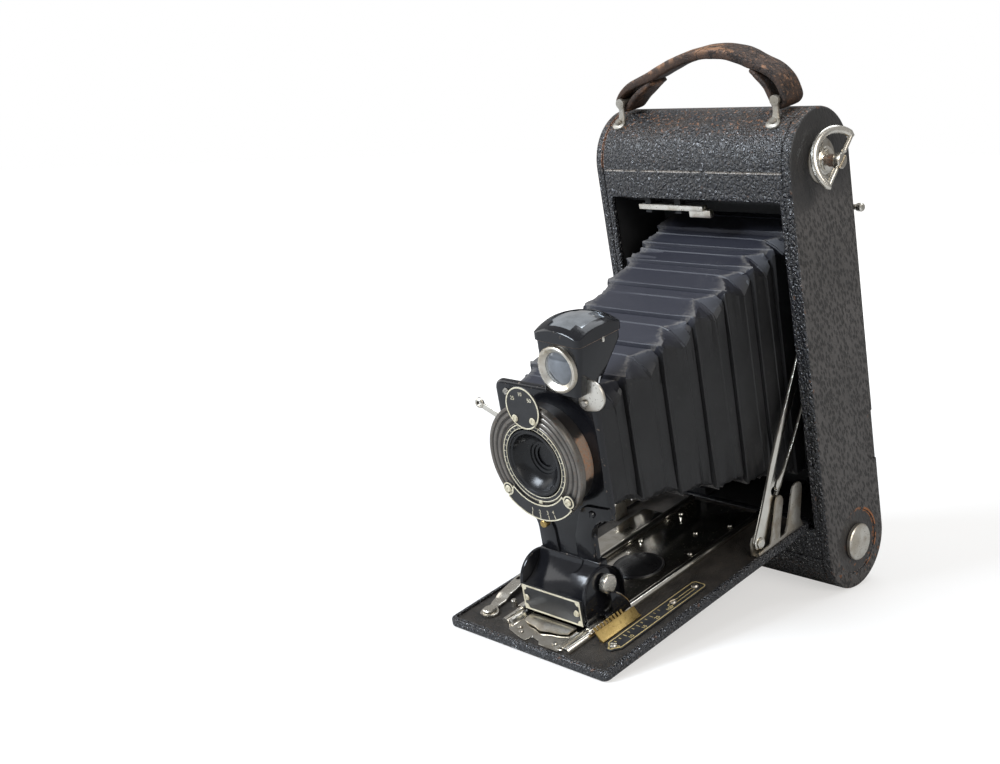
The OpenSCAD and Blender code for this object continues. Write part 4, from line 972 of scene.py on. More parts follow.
def makeBed():
    h, rim = bed["halfW"], bed["rim"]
    bm = cutPlate(roundRect(-h, h, bed["front"], bed["back"], bed["corner"], 6),
                  case["bedBot"], case["bedTop"])
    soften(bm, 1.1, 4, 50)
    floor = cutPlate(roundRect(-h + rim, h - rim, bed["front"] + rim, 5, 1.2, 4), bedFloor, 45)
    bm = carve(bm, floor, bore(7.8, 30, 45, bed["bush"], "z"))
    placePiece("bedBoard", bm, onBody, "body", [caseLeather, bedLining], ["bed_board"], 32,
               lambda f: 1 if f.normal.z > 0.9 and f.calc_center_median().z < bedFloor + 0.3 else 0)
    # track: polished plate between two rolled rails, the left one shorter
    bm = bmesh.new()
    r, end = bed["railR"], bed["trackBack"]
    for x, start in zip((-bed["railX"], bed["railX"]), bed["railEnds"]):
        prism(bm, [(x - r, bedFloor)] + arc(x, 38.4, r, 180, 0, 20) + [(x + r, bedFloor)], start, end, "y")
    soften(bm, 0.3, 2, 60)
    placePiece("bedRails", bm, onBody, "body", brightNickel, ["bed_track"], 40)
    bm = cutPlate([(-16.6, -124.6), (-13.4, -127.6), (-4.4, -130.2), (-2.2, -130.6), (-1.4, -127.2),
                   (3.4, -128.4), (5.0, -130.2), (14.8, -130.4), (16.6, -128.6), (16.6, end), (-16.6, end)],
                  seat, 38.2)
    soften(bm, 0.2, 2)
    extra = cutPlate(roundRect(-33, -20.4, -86, -20, 2.0), seat, 37.95)
    soften(extra, 0.12, 2)
    placePiece("trackPlate", join(bm, extra), onBody, "body", trackNickel, ())
    # folded walls that carry the rails
    bm = bmesh.new()
    wall = ((16.8, 38.1), (13.6, 38.1), (14.0, 38.6), (16.2, 39.9), (16.8, 39.9))
    for s, start in ((-1, -124.4), (1, -129.0)):
        prism(bm, [(s * x, z) for x, z in wall], start, -112, "y")
    soften(bm, 0.25, 2)
    placePiece("railWalls", bm, onBody, "body", nickel, ())
    rivets = ((-7.8, -126.7), (10.7, -126.9), (13.4, -46), (-13.4, -46), (13.4, -18), (-13.4, -18), (4, -30),
              (-6, -84), (-10.6, -124.4))
    screwHeads("trackRivets", [((x, y, 38.2), (0, 0, 1), 0) for x, y in rivets], 1.1, 0.5, onBody, "body",
               nickel, groove=plainHead)
    # spring leaf at the front of the track, bowed, with a lobed front edge
    rings = []
    half, (tip, heel), thick = bed["catchHalf"], bed["catchY"], Vector((0, 0, 0.3))
    for i in range(33):
        x = half * (i - 16) / 16
        t = abs(x) / half
        front = tip + 3.4 * t ** 1.7 + 0.7 * math.sin(math.pi * min(1.0, t * 1.35)) ** 2
        ring = []
        for j in range(9):
            lift = 39.0 + 1.1 * math.sin(math.pi * min(1.0, 0.12 + 0.8 * j / 8)) * (1 - 0.6 * t * t)
            ring.append(Vector((x, front + (heel - front) * j / 8, lift)))
        rings.append([p + thick for p in ring] + [p - thick for p in reversed(ring)])
    placePiece("trackCatch", lofted(rings), onBody, "track_catch", agedNickel, ["track_catch"], 50)
    # black dome over the tripod bush, with a raised rim
    bm = turned([(7.5, case["bedBot"]), (7.5, 38.2), (11.0, 38.2), (11.0, 38.6), (10.7, 38.95), (10.1, 38.85),
                 (9.4, 39.3), (8.0, 40.2), (6.0, 40.9), (3.4, 41.25), (0, 41.4), (0, 40.2), (2.45, 40.2),
                 (2.55, 35.1), (3.0, 34.7)], bed["bush"], "z", 72, True)
    placePiece("tripodDome", bm, onBody, "body", domeBlack, ["tripod_bush"])


scale = {"x": (28.2, 35.8), "y": (-120, -63), "top": 38.4, "line": (38.38, 38.46), "ticks": 12,
         "tickStep": 2.6, "figures": ("8", "10", "15", "25", "100"), "figureStep": 7.8,
         "screws": ((-117.0, 25), (-81, 70), (-67, 110))}


def scaleOutline(inset):
    x0, x1 = scale["x"][0] + inset, scale["x"][1] - inset
    y0, y1 = scale["y"][0] + inset, scale["y"][1] - inset
    r = 2.0 - inset * 0.5
    nose = [(x0 + 1.8, y0 + 1.6), (x0 + 2.6, y0), (x1 - 2.6, y0), (x1 - 1.8, y0 + 1.6)]
    tail = arc(x1 - r, y1 - r, r, 0, 90, 5) + arc(x0 + r, y1 - r, r, 90, 180, 5)
    return [(x0, y0 + 3.2)] + nose + [(x1, y0 + 3.2)] + tail


def numbers(name, items, size, place, body, material):
    bm = bmesh.new()
    for text, spot in items:
        curve = bpy.data.curves.new("figure", "FONT")
        curve.body, curve.size, curve.extrude = text, size, 0.03
        curve.align_x, curve.align_y, curve.resolution_u = "CENTER", "CENTER", 3
        obj = bpy.data.objects.new("figure", curve)
        bpy.context.scene.collection.objects.link(obj)
        mesh = evaluated(obj)
        mesh.transform(spot)
        bm.from_mesh(mesh)
        bpy.data.objects.remove(obj)
        bpy.data.meshes.remove(mesh)
    return placePiece(name, bm, place, body, material, ())


def makeScale():
    bm = cutPlate(scaleOutline(0), seat, scale["top"])
    soften(bm, 0.2, 2)
    placePiece("scalePlate", bm, onBody, "body", plateBlack, ["scale_plate"])
    bm = bmesh.new()
    frameRing(bm, scaleOutline(0.45), scaleOutline(0.85), *scale["line"])
    frameRing(bm, roundRect(31.2, 33.2, -84, -68, 0.9), roundRect(31.5, 32.9, -83.7, -68.3, 0.65),
              *scale["line"])
    for i in range(scale["ticks"]):
        y = -117 + scale["tickStep"] * i
        block(bm, (30.0, 31.2 if i % 3 else 31.9), (y, y + 0.28), scale["line"])
    placePiece("scaleLines", bm, onBody, "body", goldPaint, ())
    items = [(t, Matrix.Translation((33.6, -116.2 + scale["figureStep"] * i, 38.42)) @ spin(90, "Z"))
             for i, t in enumerate(scale["figures"])]
    numbers("scaleNumbers", items, 2.4, onBody, "body", goldPaint)
    heads = [((32, y, scale["top"]), (0, 0, 1), t) for y, t in scale["screws"]]
    screwHeads("bedScrews", heads, 1.5, 0.7, onBody, "body", agedNickel, ["bed_screws"])


lever = {"pivot": (-30, -122), "reach": (-6.4, 27.0), "stop": (-25.2, -112.6)}
comb = {"ends": (-116.5, -94.0), "teeth": 9, "tooth": (0.7, 0.95, 2.2), "pitch": 1.9, "lean": -38}


def makeBedFittings():
    makeScale()
    bm = turned([(0, bedFloor), (1.4, bedFloor), (1.4, 39.4), (2.9, 39.4), (2.9, 39.8), (2.4, 40.15),
                 (0, 40.2)], lever["pivot"] + (0,), "z", 40)
    placePiece("leverRivet", bm, onBody, "body", nickel, ())
    # brass comb: a bent strip that leans inwards, teeth along its upper edge
    base = cutPlate([(24.2, seat), (26.6, seat), (26.6, 38.2), (25.3, 38.7), (23.1, 41.3), (22.5, 40.9),
                     (24.5, 38.3)], *comb["ends"], "y")
    soften(base, 0.12, 2)
    teeth = {"Count": comb["teeth"], "Step": (0, comb["pitch"], 0), "Size": comb["tooth"], "Material": brass}
    addGrown(base, "row", teeth, Matrix.Translation((22.35, -115.7, 41.7)) @ spin(comb["lean"], "Y"))
    placePiece("focusComb", base, onBody, "body", brass, ["focus_comb"])
    # focus lever: a round head, a waist, a step up and a slotted end
    reach = Vector(lever["reach"])
    length = reach.length
    rings = []
    section = ((-1, 0), (1, 0), (1, 0.7), (0.86, 0.9), (-0.86, 0.9), (-1, 0.7))
    for k in range(41):
        t = -4.0 + (length + 6.4) * k / 40
        wide = math.sqrt(max(0.05, 16 - t * t)) if t < 2.9 else 2.1 + 0.75 * min(1, max(0, (t - 4.5) / 5))
        if t > length + 0.6:
            wide *= 0.82
        rise = 1.5 * min(1.0, max(0.0, (t - 9.5) / 3.2))
        drift = 0.9 * math.sin(math.pi * min(1.0, max(0.0, t / 14)))
        rings.append([(t, drift + w * wide, 0.4 + rise + h) for w, h in section])
    bm = carve(lofted(rings), cutPlate(roundRect(length - 4.4, length - 1.6, -0.2, 1.8, 0.9), -2, 6))
    lathe(bm, [(1.75, 1.2), (3.1, 1.2), (3.1, 1.55), (1.75, 1.7)], (0, 0, 0), "z", 36, True)
    place = onBody @ Matrix.Translation(lever["pivot"] + (bedFloor,))
    place = place @ Matrix.Rotation(math.atan2(reach.y, reach.x), 4, "Z")
    placePiece("focusLever", bm, place, "focus_lever", nickel, ["focus_lever"])
    bm = turned([(0, bedFloor), (1.2, bedFloor), (1.2, 40.2), (0.9, 40.6), (0, 40.7)],
                lever["stop"] + (0,), "z", 24)
    placePiece("leverStop", bm, onBody, "body", nickel, ())
    # latch bar under the lip with its catch plate
    bm = turned([(0, -31), (0.9, -31), (1.2, -30.6), (1.2, 2.6), (0.9, 3), (0, 3)], (0, 5.5, 172.4), "x", 28)
    plate = cutPlate([(-5, 168.4), (6, 168.4), (6, 171.6), (3.4, 171.6), (2.6, 172.4), (-5, 172.4)],
                     3.9, 6.7, "y")
    soften(plate, 0.3, 2)
    strip = solid(lambda b: block(b, (-31, 3), (3.0, 3.6), (171.3, 173.5)),
                  lambda b: block(b, (-3, 3), (3.5, 4.6), (171.3, 173.5)))
    soften(strip, 0.15, 2)
    placePiece("bedLatch", join(bm, plate, strip), onBody, "bed_latch", agedNickel, ["bed_latch"])


struts = {"x": 37.95, "t": 1.2, "foot": (-31.5, 42.6), "top": (11.6, 112.0), "wide": 1.1}


def makeStruts():
    foot, top = Vector(struts["foot"]), Vector(struts["top"])
    run = (top - foot).normalized()
    side = Vector((-run.y, run.x)) * struts["wide"]
    length = (top - foot).length
    def along(points):
        return [tuple(foot + run * s + side * w) for s, w in points]
    # a bar that forks above its keyhole into a broad leg and a thin one
    bar = arc(0, 0, 3.3, 90, 270, 14)
    bar += [(12, -3.6), (20, -4.4), (24, -5.2), (30, -6.3), (45, -8.4), (60, -9.2), (66, -9.2), (66, -8.2),
            (60, -8.1), (45, -7.1), (31, -4.6), (27.5, -2.8), (25.6, -1.4), (28.4, 0.2), (34, 0.7),
            (43, 0.7), (60, -0.9)]
    bar += arc(length, 0, 2.4, -90, 90, 14) + [(60, 2.9), (43, 4.1), (32, 4.2), (21, 3.6), (12, 3.3)]
    keyhole = arc(22, -1.3, 2.0, 20, 340, 18) + [(26.5, -1.9), (26.5, -0.7)]
    pin = [(0, 37.0), (1.6, 37.1), (2.0, 37.4), (2.0, 38.0), (1.6, 38.0), (1.6, 39.4), (2.3, 39.4),
           (2.3, 39.8), (1.6, 40.0)]
    for name, node, s in (("strutRight", "strut_right", 1), ("strutLeft", "strut_left", -1)):
        x0, x1 = struts["x"] * s, (struts["x"] + struts["t"]) * s
        bm = cutPlate(along(bar), x0, x1, "x")
        soften(bm, 0.2, 2, 60)
        bm = carve(bm, cutPlate(along(keyhole), x0 - s * 3, x1 + s * 3, "x"))
        for p, end in ((foot, 40.1), (top, 43.3)):
            lathe(bm, [(r, s * x) for r, x in pin + [(1.6, end), (0, end)]], (0, p.x, p.y), "x", 28)
        placePiece(name, bm, onBody, "body", brightNickel, [node])
    # each bracket has two round-ended fingers on a low strip, and an ear behind the strut's foot
    fingers = [(-35.5, 38.62), (-4, 38.62), (-5.2, 42.6), (-1.7, 55.4), (-2.0, 57.4), (-3.4, 58.6),
               (-6.0, 58.9), (-7.8, 58.2), (-8.8, 56.6), (-14.4, 43.0), (-16.0, 40.6), (-20.4, 40.2),
               (-19.8, 43.0), (-15.5, 55.2), (-15.7, 57.0), (-16.9, 58.2), (-18.6, 58.3), (-19.9, 57.2),
               (-25.6, 43.0), (-27.0, 40.4), (-35.5, 39.6)]
    ear = [(-35.5, seat), (-27.5, seat), (-27.5, 43.0), (-29.0, 45.4), (-31.5, 46.4), (-34.0, 45.4),
           (-35.5, 43.0)]
    bm = bmesh.new()
    for s in (-1, 1):
        part = solid(lambda b: prism(b, fingers, s * 40.05, s * 40.95, "x"),
                     lambda b: prism(b, ear, s * 36.6, s * 37.5, "x"),
                     lambda b: block(b, (s * 36.8, s * 40.2), (-35.2, -27.8), (seat, 38.3)))
        soften(part, 0.2, 2, 60)
        join(bm, part)
    placePiece("strutBrackets", bm, onBody, "body", duskNickel, ["strut_brackets"])


# bellows: a tube whose pleats a node tree folds

pleat = {"gateY": 33.0, "frontY": -99.6, "backX": 37.0, "backZ": 57.0, "frontX": 22.4, "frontZ": 20.4,
         "backMid": 106.2, "frontMid": 106.6, "lift": 0.4, "topCut": 10.5, "lipCut": 0.4, "sideCut": 1.6,
         "sideLow": 8.0, "thick": 0.9}
# the standard's travel, how the corners tuck in and ruffle, and where a pleat turns
crease = {"travel": 115, "tuckX": 0.4, "tuckZ": 0.35, "ruffle": 3.6, "valley": -1.25, "tread": 0.215,
          "lip": 0.85}
# the pleats lie closer together at the back
pleatEnds = (33.0, 16.0, 3.6, -9.2, -25.9, -44.1, -63.3, -83.5, -99.6)
# one pleat from back to front: pressed line, tread, lip, groove
foldLine = ((0.0, crease["valley"]), (0.03, -1.15), (0.19, -1.05), (crease["tread"], -0.65), (0.24, -0.95),
            (0.33, None), (0.43, None), (0.53, None), (0.63, None), (0.73, None), (0.83, -0.2),
            (crease["lip"], 0.0), (0.88, -0.02), (0.895, -0.2), (0.905, -2.3), (0.93, -2.4),
            (0.945, crease["valley"]))


def flareAt(f):
    # the corner of the tread runs out to its lip and back in to the next pleat
    tread, lip = crease["tread"], crease["lip"]
    if tread <= f <= lip:
        return (f - tread) / (lip - tread)
    return 1 - ((f - lip) % 1) / (1 - lip + tread)


ringData = ("along", "sideX", "sideZ", "inX", "inZ", "skin", "fold", "flare")


def pleatTree():
    sockets = [(n, "NodeSocketFloat") for n in pleat]
    tree, given = newTree("pleats", sockets + [("Material", "NodeSocketMaterial")])
    def read(name):
        return addNode(tree, "GeometryNodeInputNamedAttribute", {"data_type": "FLOAT"}, {"Name": name})
    along, sideX, sideZ, inX, inZ, skin, fold, flare = (read(n) for n in ringData)
    puff = given["lift"] + fold - given["thick"] * skin
    wide = given["backX"] + (given["frontX"] - given["backX"]) * along + puff
    tall = given["backZ"] + (given["frontZ"] - given["backZ"]) * along + puff
    # the corners are cut back between the lips, most of all at the top right
    tuckX, tuckZ = crease["tuckX"], crease["tuckZ"]
    tuck = (1.0 - flare) * (sideX * tuckX + (1 - tuckX)) * (sideZ * tuckZ + (1 - tuckZ))
    cutX = given["lipCut"] + (given["topCut"] - given["lipCut"]) * tuck
    cutZ = given["sideCut"] + (given["sideLow"] - given["sideCut"]) * tuck
    x = sideX * (wide - inX * cutX)
    z = sideZ * (tall - inZ * cutZ) + given["backMid"] + (given["frontMid"] - given["backMid"]) * along
    y = given["gateY"] + (given["frontY"] - given["gateY"]) * along + given["thick"] * skin * along
    spot = addNode(tree, "ShaderNodeCombineXYZ", None, {0: x, 1: y, 2: z})
    ruffle = addNode(tree, "ShaderNodeTexNoise", None, {"Vector": spot, "Scale": 0.5, "Detail": 3.0}, 1)
    shift = addNode(tree, "ShaderNodeVectorMath", {"operation": "MULTIPLY_ADD"},
                    {0: ruffle, 1: (1.0, 0.6, 1.0), 2: (-0.5, -0.3, -0.5)})
    loose = addNode(tree, "ShaderNodeVectorMath", {"operation": "SCALE"},
                    {0: shift, "Scale": (1.0 - skin) * (0.15 + (inX + inZ) * crease["ruffle"])})
    settled = addNode(tree, "ShaderNodeVectorMath", {"operation": "ADD"}, {0: spot, 1: loose})
    moved = addNode(tree, "GeometryNodeSetPosition", None,
                    {"Geometry": given["Geometry"], "Position": settled})
    worn = addNode(tree, "GeometryNodeStoreNamedAttribute", {"data_type": "FLOAT", "domain": "POINT"},
                   {"Geometry": moved, "Name": "wear", "Value": inX ** 3.0 * 0.95 + flare ** 24.0 * 0.4})
    # marks the upward faces, which the leather paints lighter and bluer as if lit from above
    paintedLitTop = (sideZ > 0.99) * (1.0 - inZ)
    toned = addNode(tree, "GeometryNodeStoreNamedAttribute", {"data_type": "FLOAT", "domain": "POINT"},
                    {"Geometry": worn, "Name": "paintedLitTop", "Value": paintedLitTop})
    return endTree(tree, toned, given["Material"])


def makeBellows():
    trees["pleats"] = pleatTree()
    # one outline of the tube: shares of its half width and height, and of the corner cut
    outline = []
    for a, b, flip in ((1, -1, 0), (1, 1, 1), (-1, 1, 0), (-1, -1, 1)):
        cut = [(a, b, m, n) for m, n in ((1.0, 0.0), (0.7, 0.16), (0.42, 0.42), (0.16, 0.7), (0.0, 1.0))]
        outline += cut[::-1] if flip else cut
    ring = []
    for i, p in enumerate(outline):
        ring.append(p)
        q = outline[(i + 1) % len(outline)]
        if i % 5 == 4:
            for s in (0.22, 0.36, 0.5, 0.64, 0.78):
                ring.append((p[0] + (q[0] - p[0]) * s, p[1] + (q[1] - p[1]) * s, 0.0, 0.0))
    known = [(f, d) for f, d in foldLine + ((1.0, crease["valley"]),) if d is not None]
    def depth(f):
        for (f0, d0), (f1, d1) in zip(known, known[1:]):
            if f0 <= f <= f1:
                return d0 + (d1 - d0) * (f - f0) / (f1 - f0)
    span = pleat["gateY"] - pleat["frontY"]
    steps = []
    for y0, y1 in zip(pleatEnds, pleatEnds[1:]):
        for f, _ in foldLine:
            steps.append(((pleat["gateY"] - y0 - (y1 - y0) * f) / span, depth(f), flareAt(f)))
    steps.append((1.0, crease["valley"], flareAt(1.0)))
    count, rows = len(ring), len(steps)
    points, data, faces = [], [], []
    for skin in (0.0, 1.0):
        for t, fold, flare in steps:
            for sx, sz, ix, iz in ring:
                points.append((sx, t, sz))
                data.append((t, sx, sz, ix, iz, skin, fold, flare))
    for k in range(rows - 1):
        for i in range(count):
            j = (i + 1) % count
            a, b, c, d = k * count + i, k * count + j, (k + 1) * count + j, (k + 1) * count + i
            faces += [(a, b, c, d), tuple(n + rows * count for n in (d, c, b, a))]
    for k in (0, rows - 1):
        for i in range(count):
            j = (i + 1) % count
            a, b = k * count + i, k * count + j
            faces.append((a, b, b + rows * count, a + rows * count))
    mesh = bpy.data.meshes.new("bellows")
    mesh.from_pydata(points, [], faces)
    for n, name in enumerate(ringData):
        layer = mesh.attributes.new(name, "FLOAT", "POINT")
        layer.data.foreach_set("value", [d[n] for d in data])
    values = {n: float(v) for n, v in pleat.items()}
    values["Material"] = bellowsLeather
    grown = growMesh("pleats", mesh, values)
    obj = finishGrown("bellowsFolds", grown, onBody, "body", ["bellows"], 20)
    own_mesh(obj)


# standard

saddle = {"halfW": 16.0, "front": -13, "scoopR": 15.0, "scoop": (-15.0, 25.8), "cheek": (-2.5, 10.5),
          "cheekR": 10.5, "roll": 0.55, "guard": (4.2, 9.6), "plate": (15.6, 0.6, 11.6),
          "grip": (-1.6, 14.4), "gripR": 3.8}
eighths = [math.pi * i / 4 for i in range(8)]


def plateBorder(inset, notch):
    w, z0, z1 = saddle["plate"]
    w, z0, z1 = w - inset, z0 + inset, z1 - inset
    out = []
    for cx, cz, a in ((-w, z0, 90), (w, z0, 180), (w, z1, 270), (-w, z1, 360)):
        out += arc(cx, cz, notch, a, a - 90, 5) if notch else [(cx, cz)] * 6
    return out


def makeStandard():
    (cy, cz), scoopR, half, front = saddle["scoop"], saddle["scoopR"], saddle["halfW"], saddle["front"]
    profile = [(front, 1.8), (4, 1.8), (4, 21.8)] + arc(cy, cz, scoopR, -15.5, -82.3, 26)
    bm = cutPlate(profile, -half, half, "x")
    soften(bm, 0.5, 3, 50)
    # a round tongue lies on the scoop below the neck
    rings = []
    for k in range(13):
        a = math.radians(-17 - 26 * k / 12)
        wide = 6.2 * math.sqrt(max(0.01, 1 - (k / 12) ** 2))
        rings.append([(1.5 + w * wide, cy + (scoopR - d) * math.cos(a), cz + (scoopR - d) * math.sin(a))
                      for w, d in ((-1, -0.2), (1, -0.2), (1, 0.5), (-1, 0.5))])
    tongue = lofted(rings)
    parts = bmesh.new()
    (ky, kz), roll, (gy, gz) = saddle["cheek"], saddle["roll"], saddle["guard"]
    for s in (-1, 1):
        cheek = [(8, 0.1)] + arc(ky, kz, saddle["cheekR"], 0, 180, 36) + [(front, 0.1)]
        prism(parts, cheek, s * half, s * (half + 1.2), "x")
    soften(parts, 0.35, 2, 50)
    for s in (-1, 1):
        block(parts, (s * 14.8, s * 16.2), (front, 8), (0.1, 1.8))
        # rolled rim of the cheek
        rings = []
        for y, z in arc(ky, kz, 10.1, -8, 188, 40):
            d = Vector((y - ky, z - kz)).normalized()
            dy, dz = d.x * roll, d.y * roll
            rings.append([(s * (17.1 + roll * math.sin(a)), y + dy * math.cos(a), z + dz * math.cos(a))
                          for a in eighths])
        loft(parts, rings)
        # curved guard behind the grip
        rings = []
        for i in range(17):
            t = math.radians(-65 + 150 * i / 16)
            rings.append([(s * x, gy + ry * math.cos(t), gz + rz * math.sin(t)) for x, ry, rz in
                          ((17.2, 3.4, 9.0), (19.8, 3.4, 9.0), (19.8, 2.7, 8.4), (17.2, 2.7, 8.4))])
        loft(parts, rings)
    placePiece("standardBase", join(bm, parts, tongue), onRails, "standard", enamel, ["standard_base"])
    # bright shoes that wrap the rails
    bm = bmesh.new()
    for x in (-bed["railX"], bed["railX"]):
        prism(bm, arc(x, -1.8, 2.85, 57, 123, 24) + arc(x, -1.8, 2.2, 123, 57, 24), -14.5, 8.0, "y")
    soften(bm, 0.15, 2, 50)
    placePiece("railShoes", bm, onRails, "standard", nickel, ())
    # bare name plate in a cream border with notched corners
    w, z0, z1 = saddle["plate"]
    bm = cutPlate(roundRect(-w, w, z0, z1, 0.3, 2), -14.2, -13.02, "y")
    soften(bm, 0.12, 2)
    placePiece("namePlate", bm, onRails, "standard", plateBlack, ["name_plate"])
    bm = bmesh.new()
    frameRing(bm, plateBorder(0.05, 0), plateBorder(0.8, 1.7), -14.28, -14.18, "y")
    placePiece("namePlateBorder", bm, onRails, "standard", creamPaint, ())
    # pointer: a quarter fin over the comb, bright along its round edge
    fin = [(-3.0, 0.7), (6.6, 0.7), (6.3, 2.6), (5.4, 4.6), (4.0, 6.6), (2.2, 8.6), (0.0, 10.4), (-3.0, 12.0)]
    bm = cutPlate(fin, 21.5, 22.0, "x")
    block(bm, (17.2, 21.8), (-6, -4), (2.4, 3.2))
    soften(bm, 0.12, 2)
    edge = lofted([[(21.75 + 0.45 * math.cos(a), y, z + 0.45 * math.sin(a)) for a in eighths]
                   for y, z in fin[1:]])
    placePiece("focusPointer", join(bm, edge), onRails, "standard", [enamel, nickel], ["focus_pointer"],
               32, lambda f: 0 if abs(f.normal.x) > 0.9 or f.calc_center_median().y < -2.8 else 1)
    # grips: ridged buttons on pins
    r = saddle["gripR"]
    place = onRails @ Matrix.Translation((0,) + saddle["grip"]) @ spin(90, "Y")
    profile = ((0, 12), (1.2, 12), (1.2, 18.4), (r - 0.3, 18.4), (r - 0.1, 18.6), (r - 0.1, 20.9),
               (r - 0.4, 21.15), (0, 21.2))
    for name, node, s in (("gripRight", "grip_right", 1), ("gripLeft", "grip_left", -1)):
        bm = turned([(a, s * x) for a, x in profile], (0, 0, 0), "z", 48)
        ridges = {"Count": 40, "Radius": r - 0.05, "Length": 2.2, "Ridge": 0.18, "Material": nickel}
        addGrown(bm, "ring", ridges, Matrix.Translation((0, 0, s * 19.75)))
        placePiece(name, bm, place, node, nickel, [node])


board = {"halfW": 26.3, "low": -24.0, "top": 27.0, "corner": 4.0, "deep": 8.0, "neck": 14.4, "neckLow": -43.6,
         "fillet": (25.4, -35)}


def boardOutline():
    r, x = board["corner"], board["halfW"] - board["corner"]
    right = [(board["neck"], board["neckLow"])] + arc(*board["fillet"], 11, 180, 90, 12)
    right += arc(x, board["low"] + r, r, -30, 0, 4) + arc(x, board["top"] - r, r, 0, 90, 8)
    return right + [(-x, z) for x, z in reversed(right)]


# the board's upper part, drawn in or let out, though never over its top
def boardRect(inset, corner):
    w = board["halfW"] - inset
    return roundRect(-w, w, board["low"] + inset, board["top"] - max(inset, 0), corner, 8)


def makeBoard():
    bm = cutPlate(boardOutline(), 0, 2.4, "y")
    soften(bm, 1.8, 5, 50, lambda e: all(abs(v.co.y) < 0.01 for v in e.verts)
           and e.verts[0].co.z + e.verts[1].co.z > -80)
    bm = carve(bm, bore(16.4, -3, 4, steps=64))
    wall = bmesh.new()
    frameRing(wall, boardRect(0.05, 4), boardRect(1.2, 3), 2.0, board["deep"], "y")
    frameRing(wall, boardRect(-0.4, 4.4), boardRect(1.1, 3.1), 7.1, board["deep"], "y")
    soften(wall, 0.3, 2, 50)
    # the top left corner is a bare plate
    wall = carve(wall, solid(lambda b: block(b, (-40, -1), (1, 12), (20, 40))))
    # two plates lie on the neck, either side of its channel
    fx, fz = board["fillet"]
    flank = [(4.9, -43.5), (14.2, -43.5), (14.2, fz)] + arc(fx, fz, 11.2, 178, 96, 10)
    flank += [(25.9, -23.2), (25.9, -18.5), (19.5, -18.9)] + arc(16.6, -27, 8.0, 85, 160, 10) + [(5.5, -34)]
    cheeks = bmesh.new()
    for s in (1, -1):
        prism(cheeks, [(s * x, z) for x, z in flank], -0.9, 0.5, "y")
    soften(cheeks, 0.35, 3, 50)
    placePiece("lensBoard", join(bm, wall, cheeks), onBoard, "standard", enamel, ["lens_board"])
    heads = [((x, -0.9, -22.3), (0, -1, 0), t) for x, t in ((-16.8, 20), (16.8, 75))]
    screwHeads("neckScrews", heads, 1.5, 0.75, onBoard, "standard", enamel, ())
    px, pz = finder["pivot"]
    heads = [((-19.6, 0, 22.8), (0, -1, 0), 40), ((px, -1.25, pz), (0, -1, 0), 15)]
    screwHeads("standardScrews", heads, 1.4, 0.7, onBoard, "standard", duskNickel, ["standard_screws"])
    heads = [((x, -14.2, 6.1), (0, -1, 0), t) for x, t in ((-13.5, 80), (13.5, 95))]
    screwHeads("nameScrews", heads, 1.35, 0.6, onRails, "standard", creamPaint)
    bm = bore(1.2, 0, -1.6, (px, 0, pz), "y", 24)
    placePiece("finderPivot", bm, onBoard, "standard", nickel, ())


# shutter

shutter = {"r": 23.6, "wheelZ": 22.9, "plateR": 8.6, "plateY": -10.4, "plateT": 0.9, "earR": 20.6,
           "ears": (220, 322), "marks": (258, 269, 281, 290), "figureR": 20.1,
           "rim": ((-56, 71), (109, 118), (156, 236)), "lever": (146, 19.6), "eye": (13.0, 0, -2.9)}
upright = spin(90, "X")  # stands a flat shape up to face the front


def polar(r, degrees):
    return r * math.cos(math.radians(degrees)), r * math.sin(math.radians(degrees))


# a thin line that points away from the lens
def addTick(bm, degrees, reach, depth, half):
    tick = solid(lambda b: block(b, reach, depth, (-half, half)))
    join(bm, turnShape(tick, spin(-degrees, "Y")))


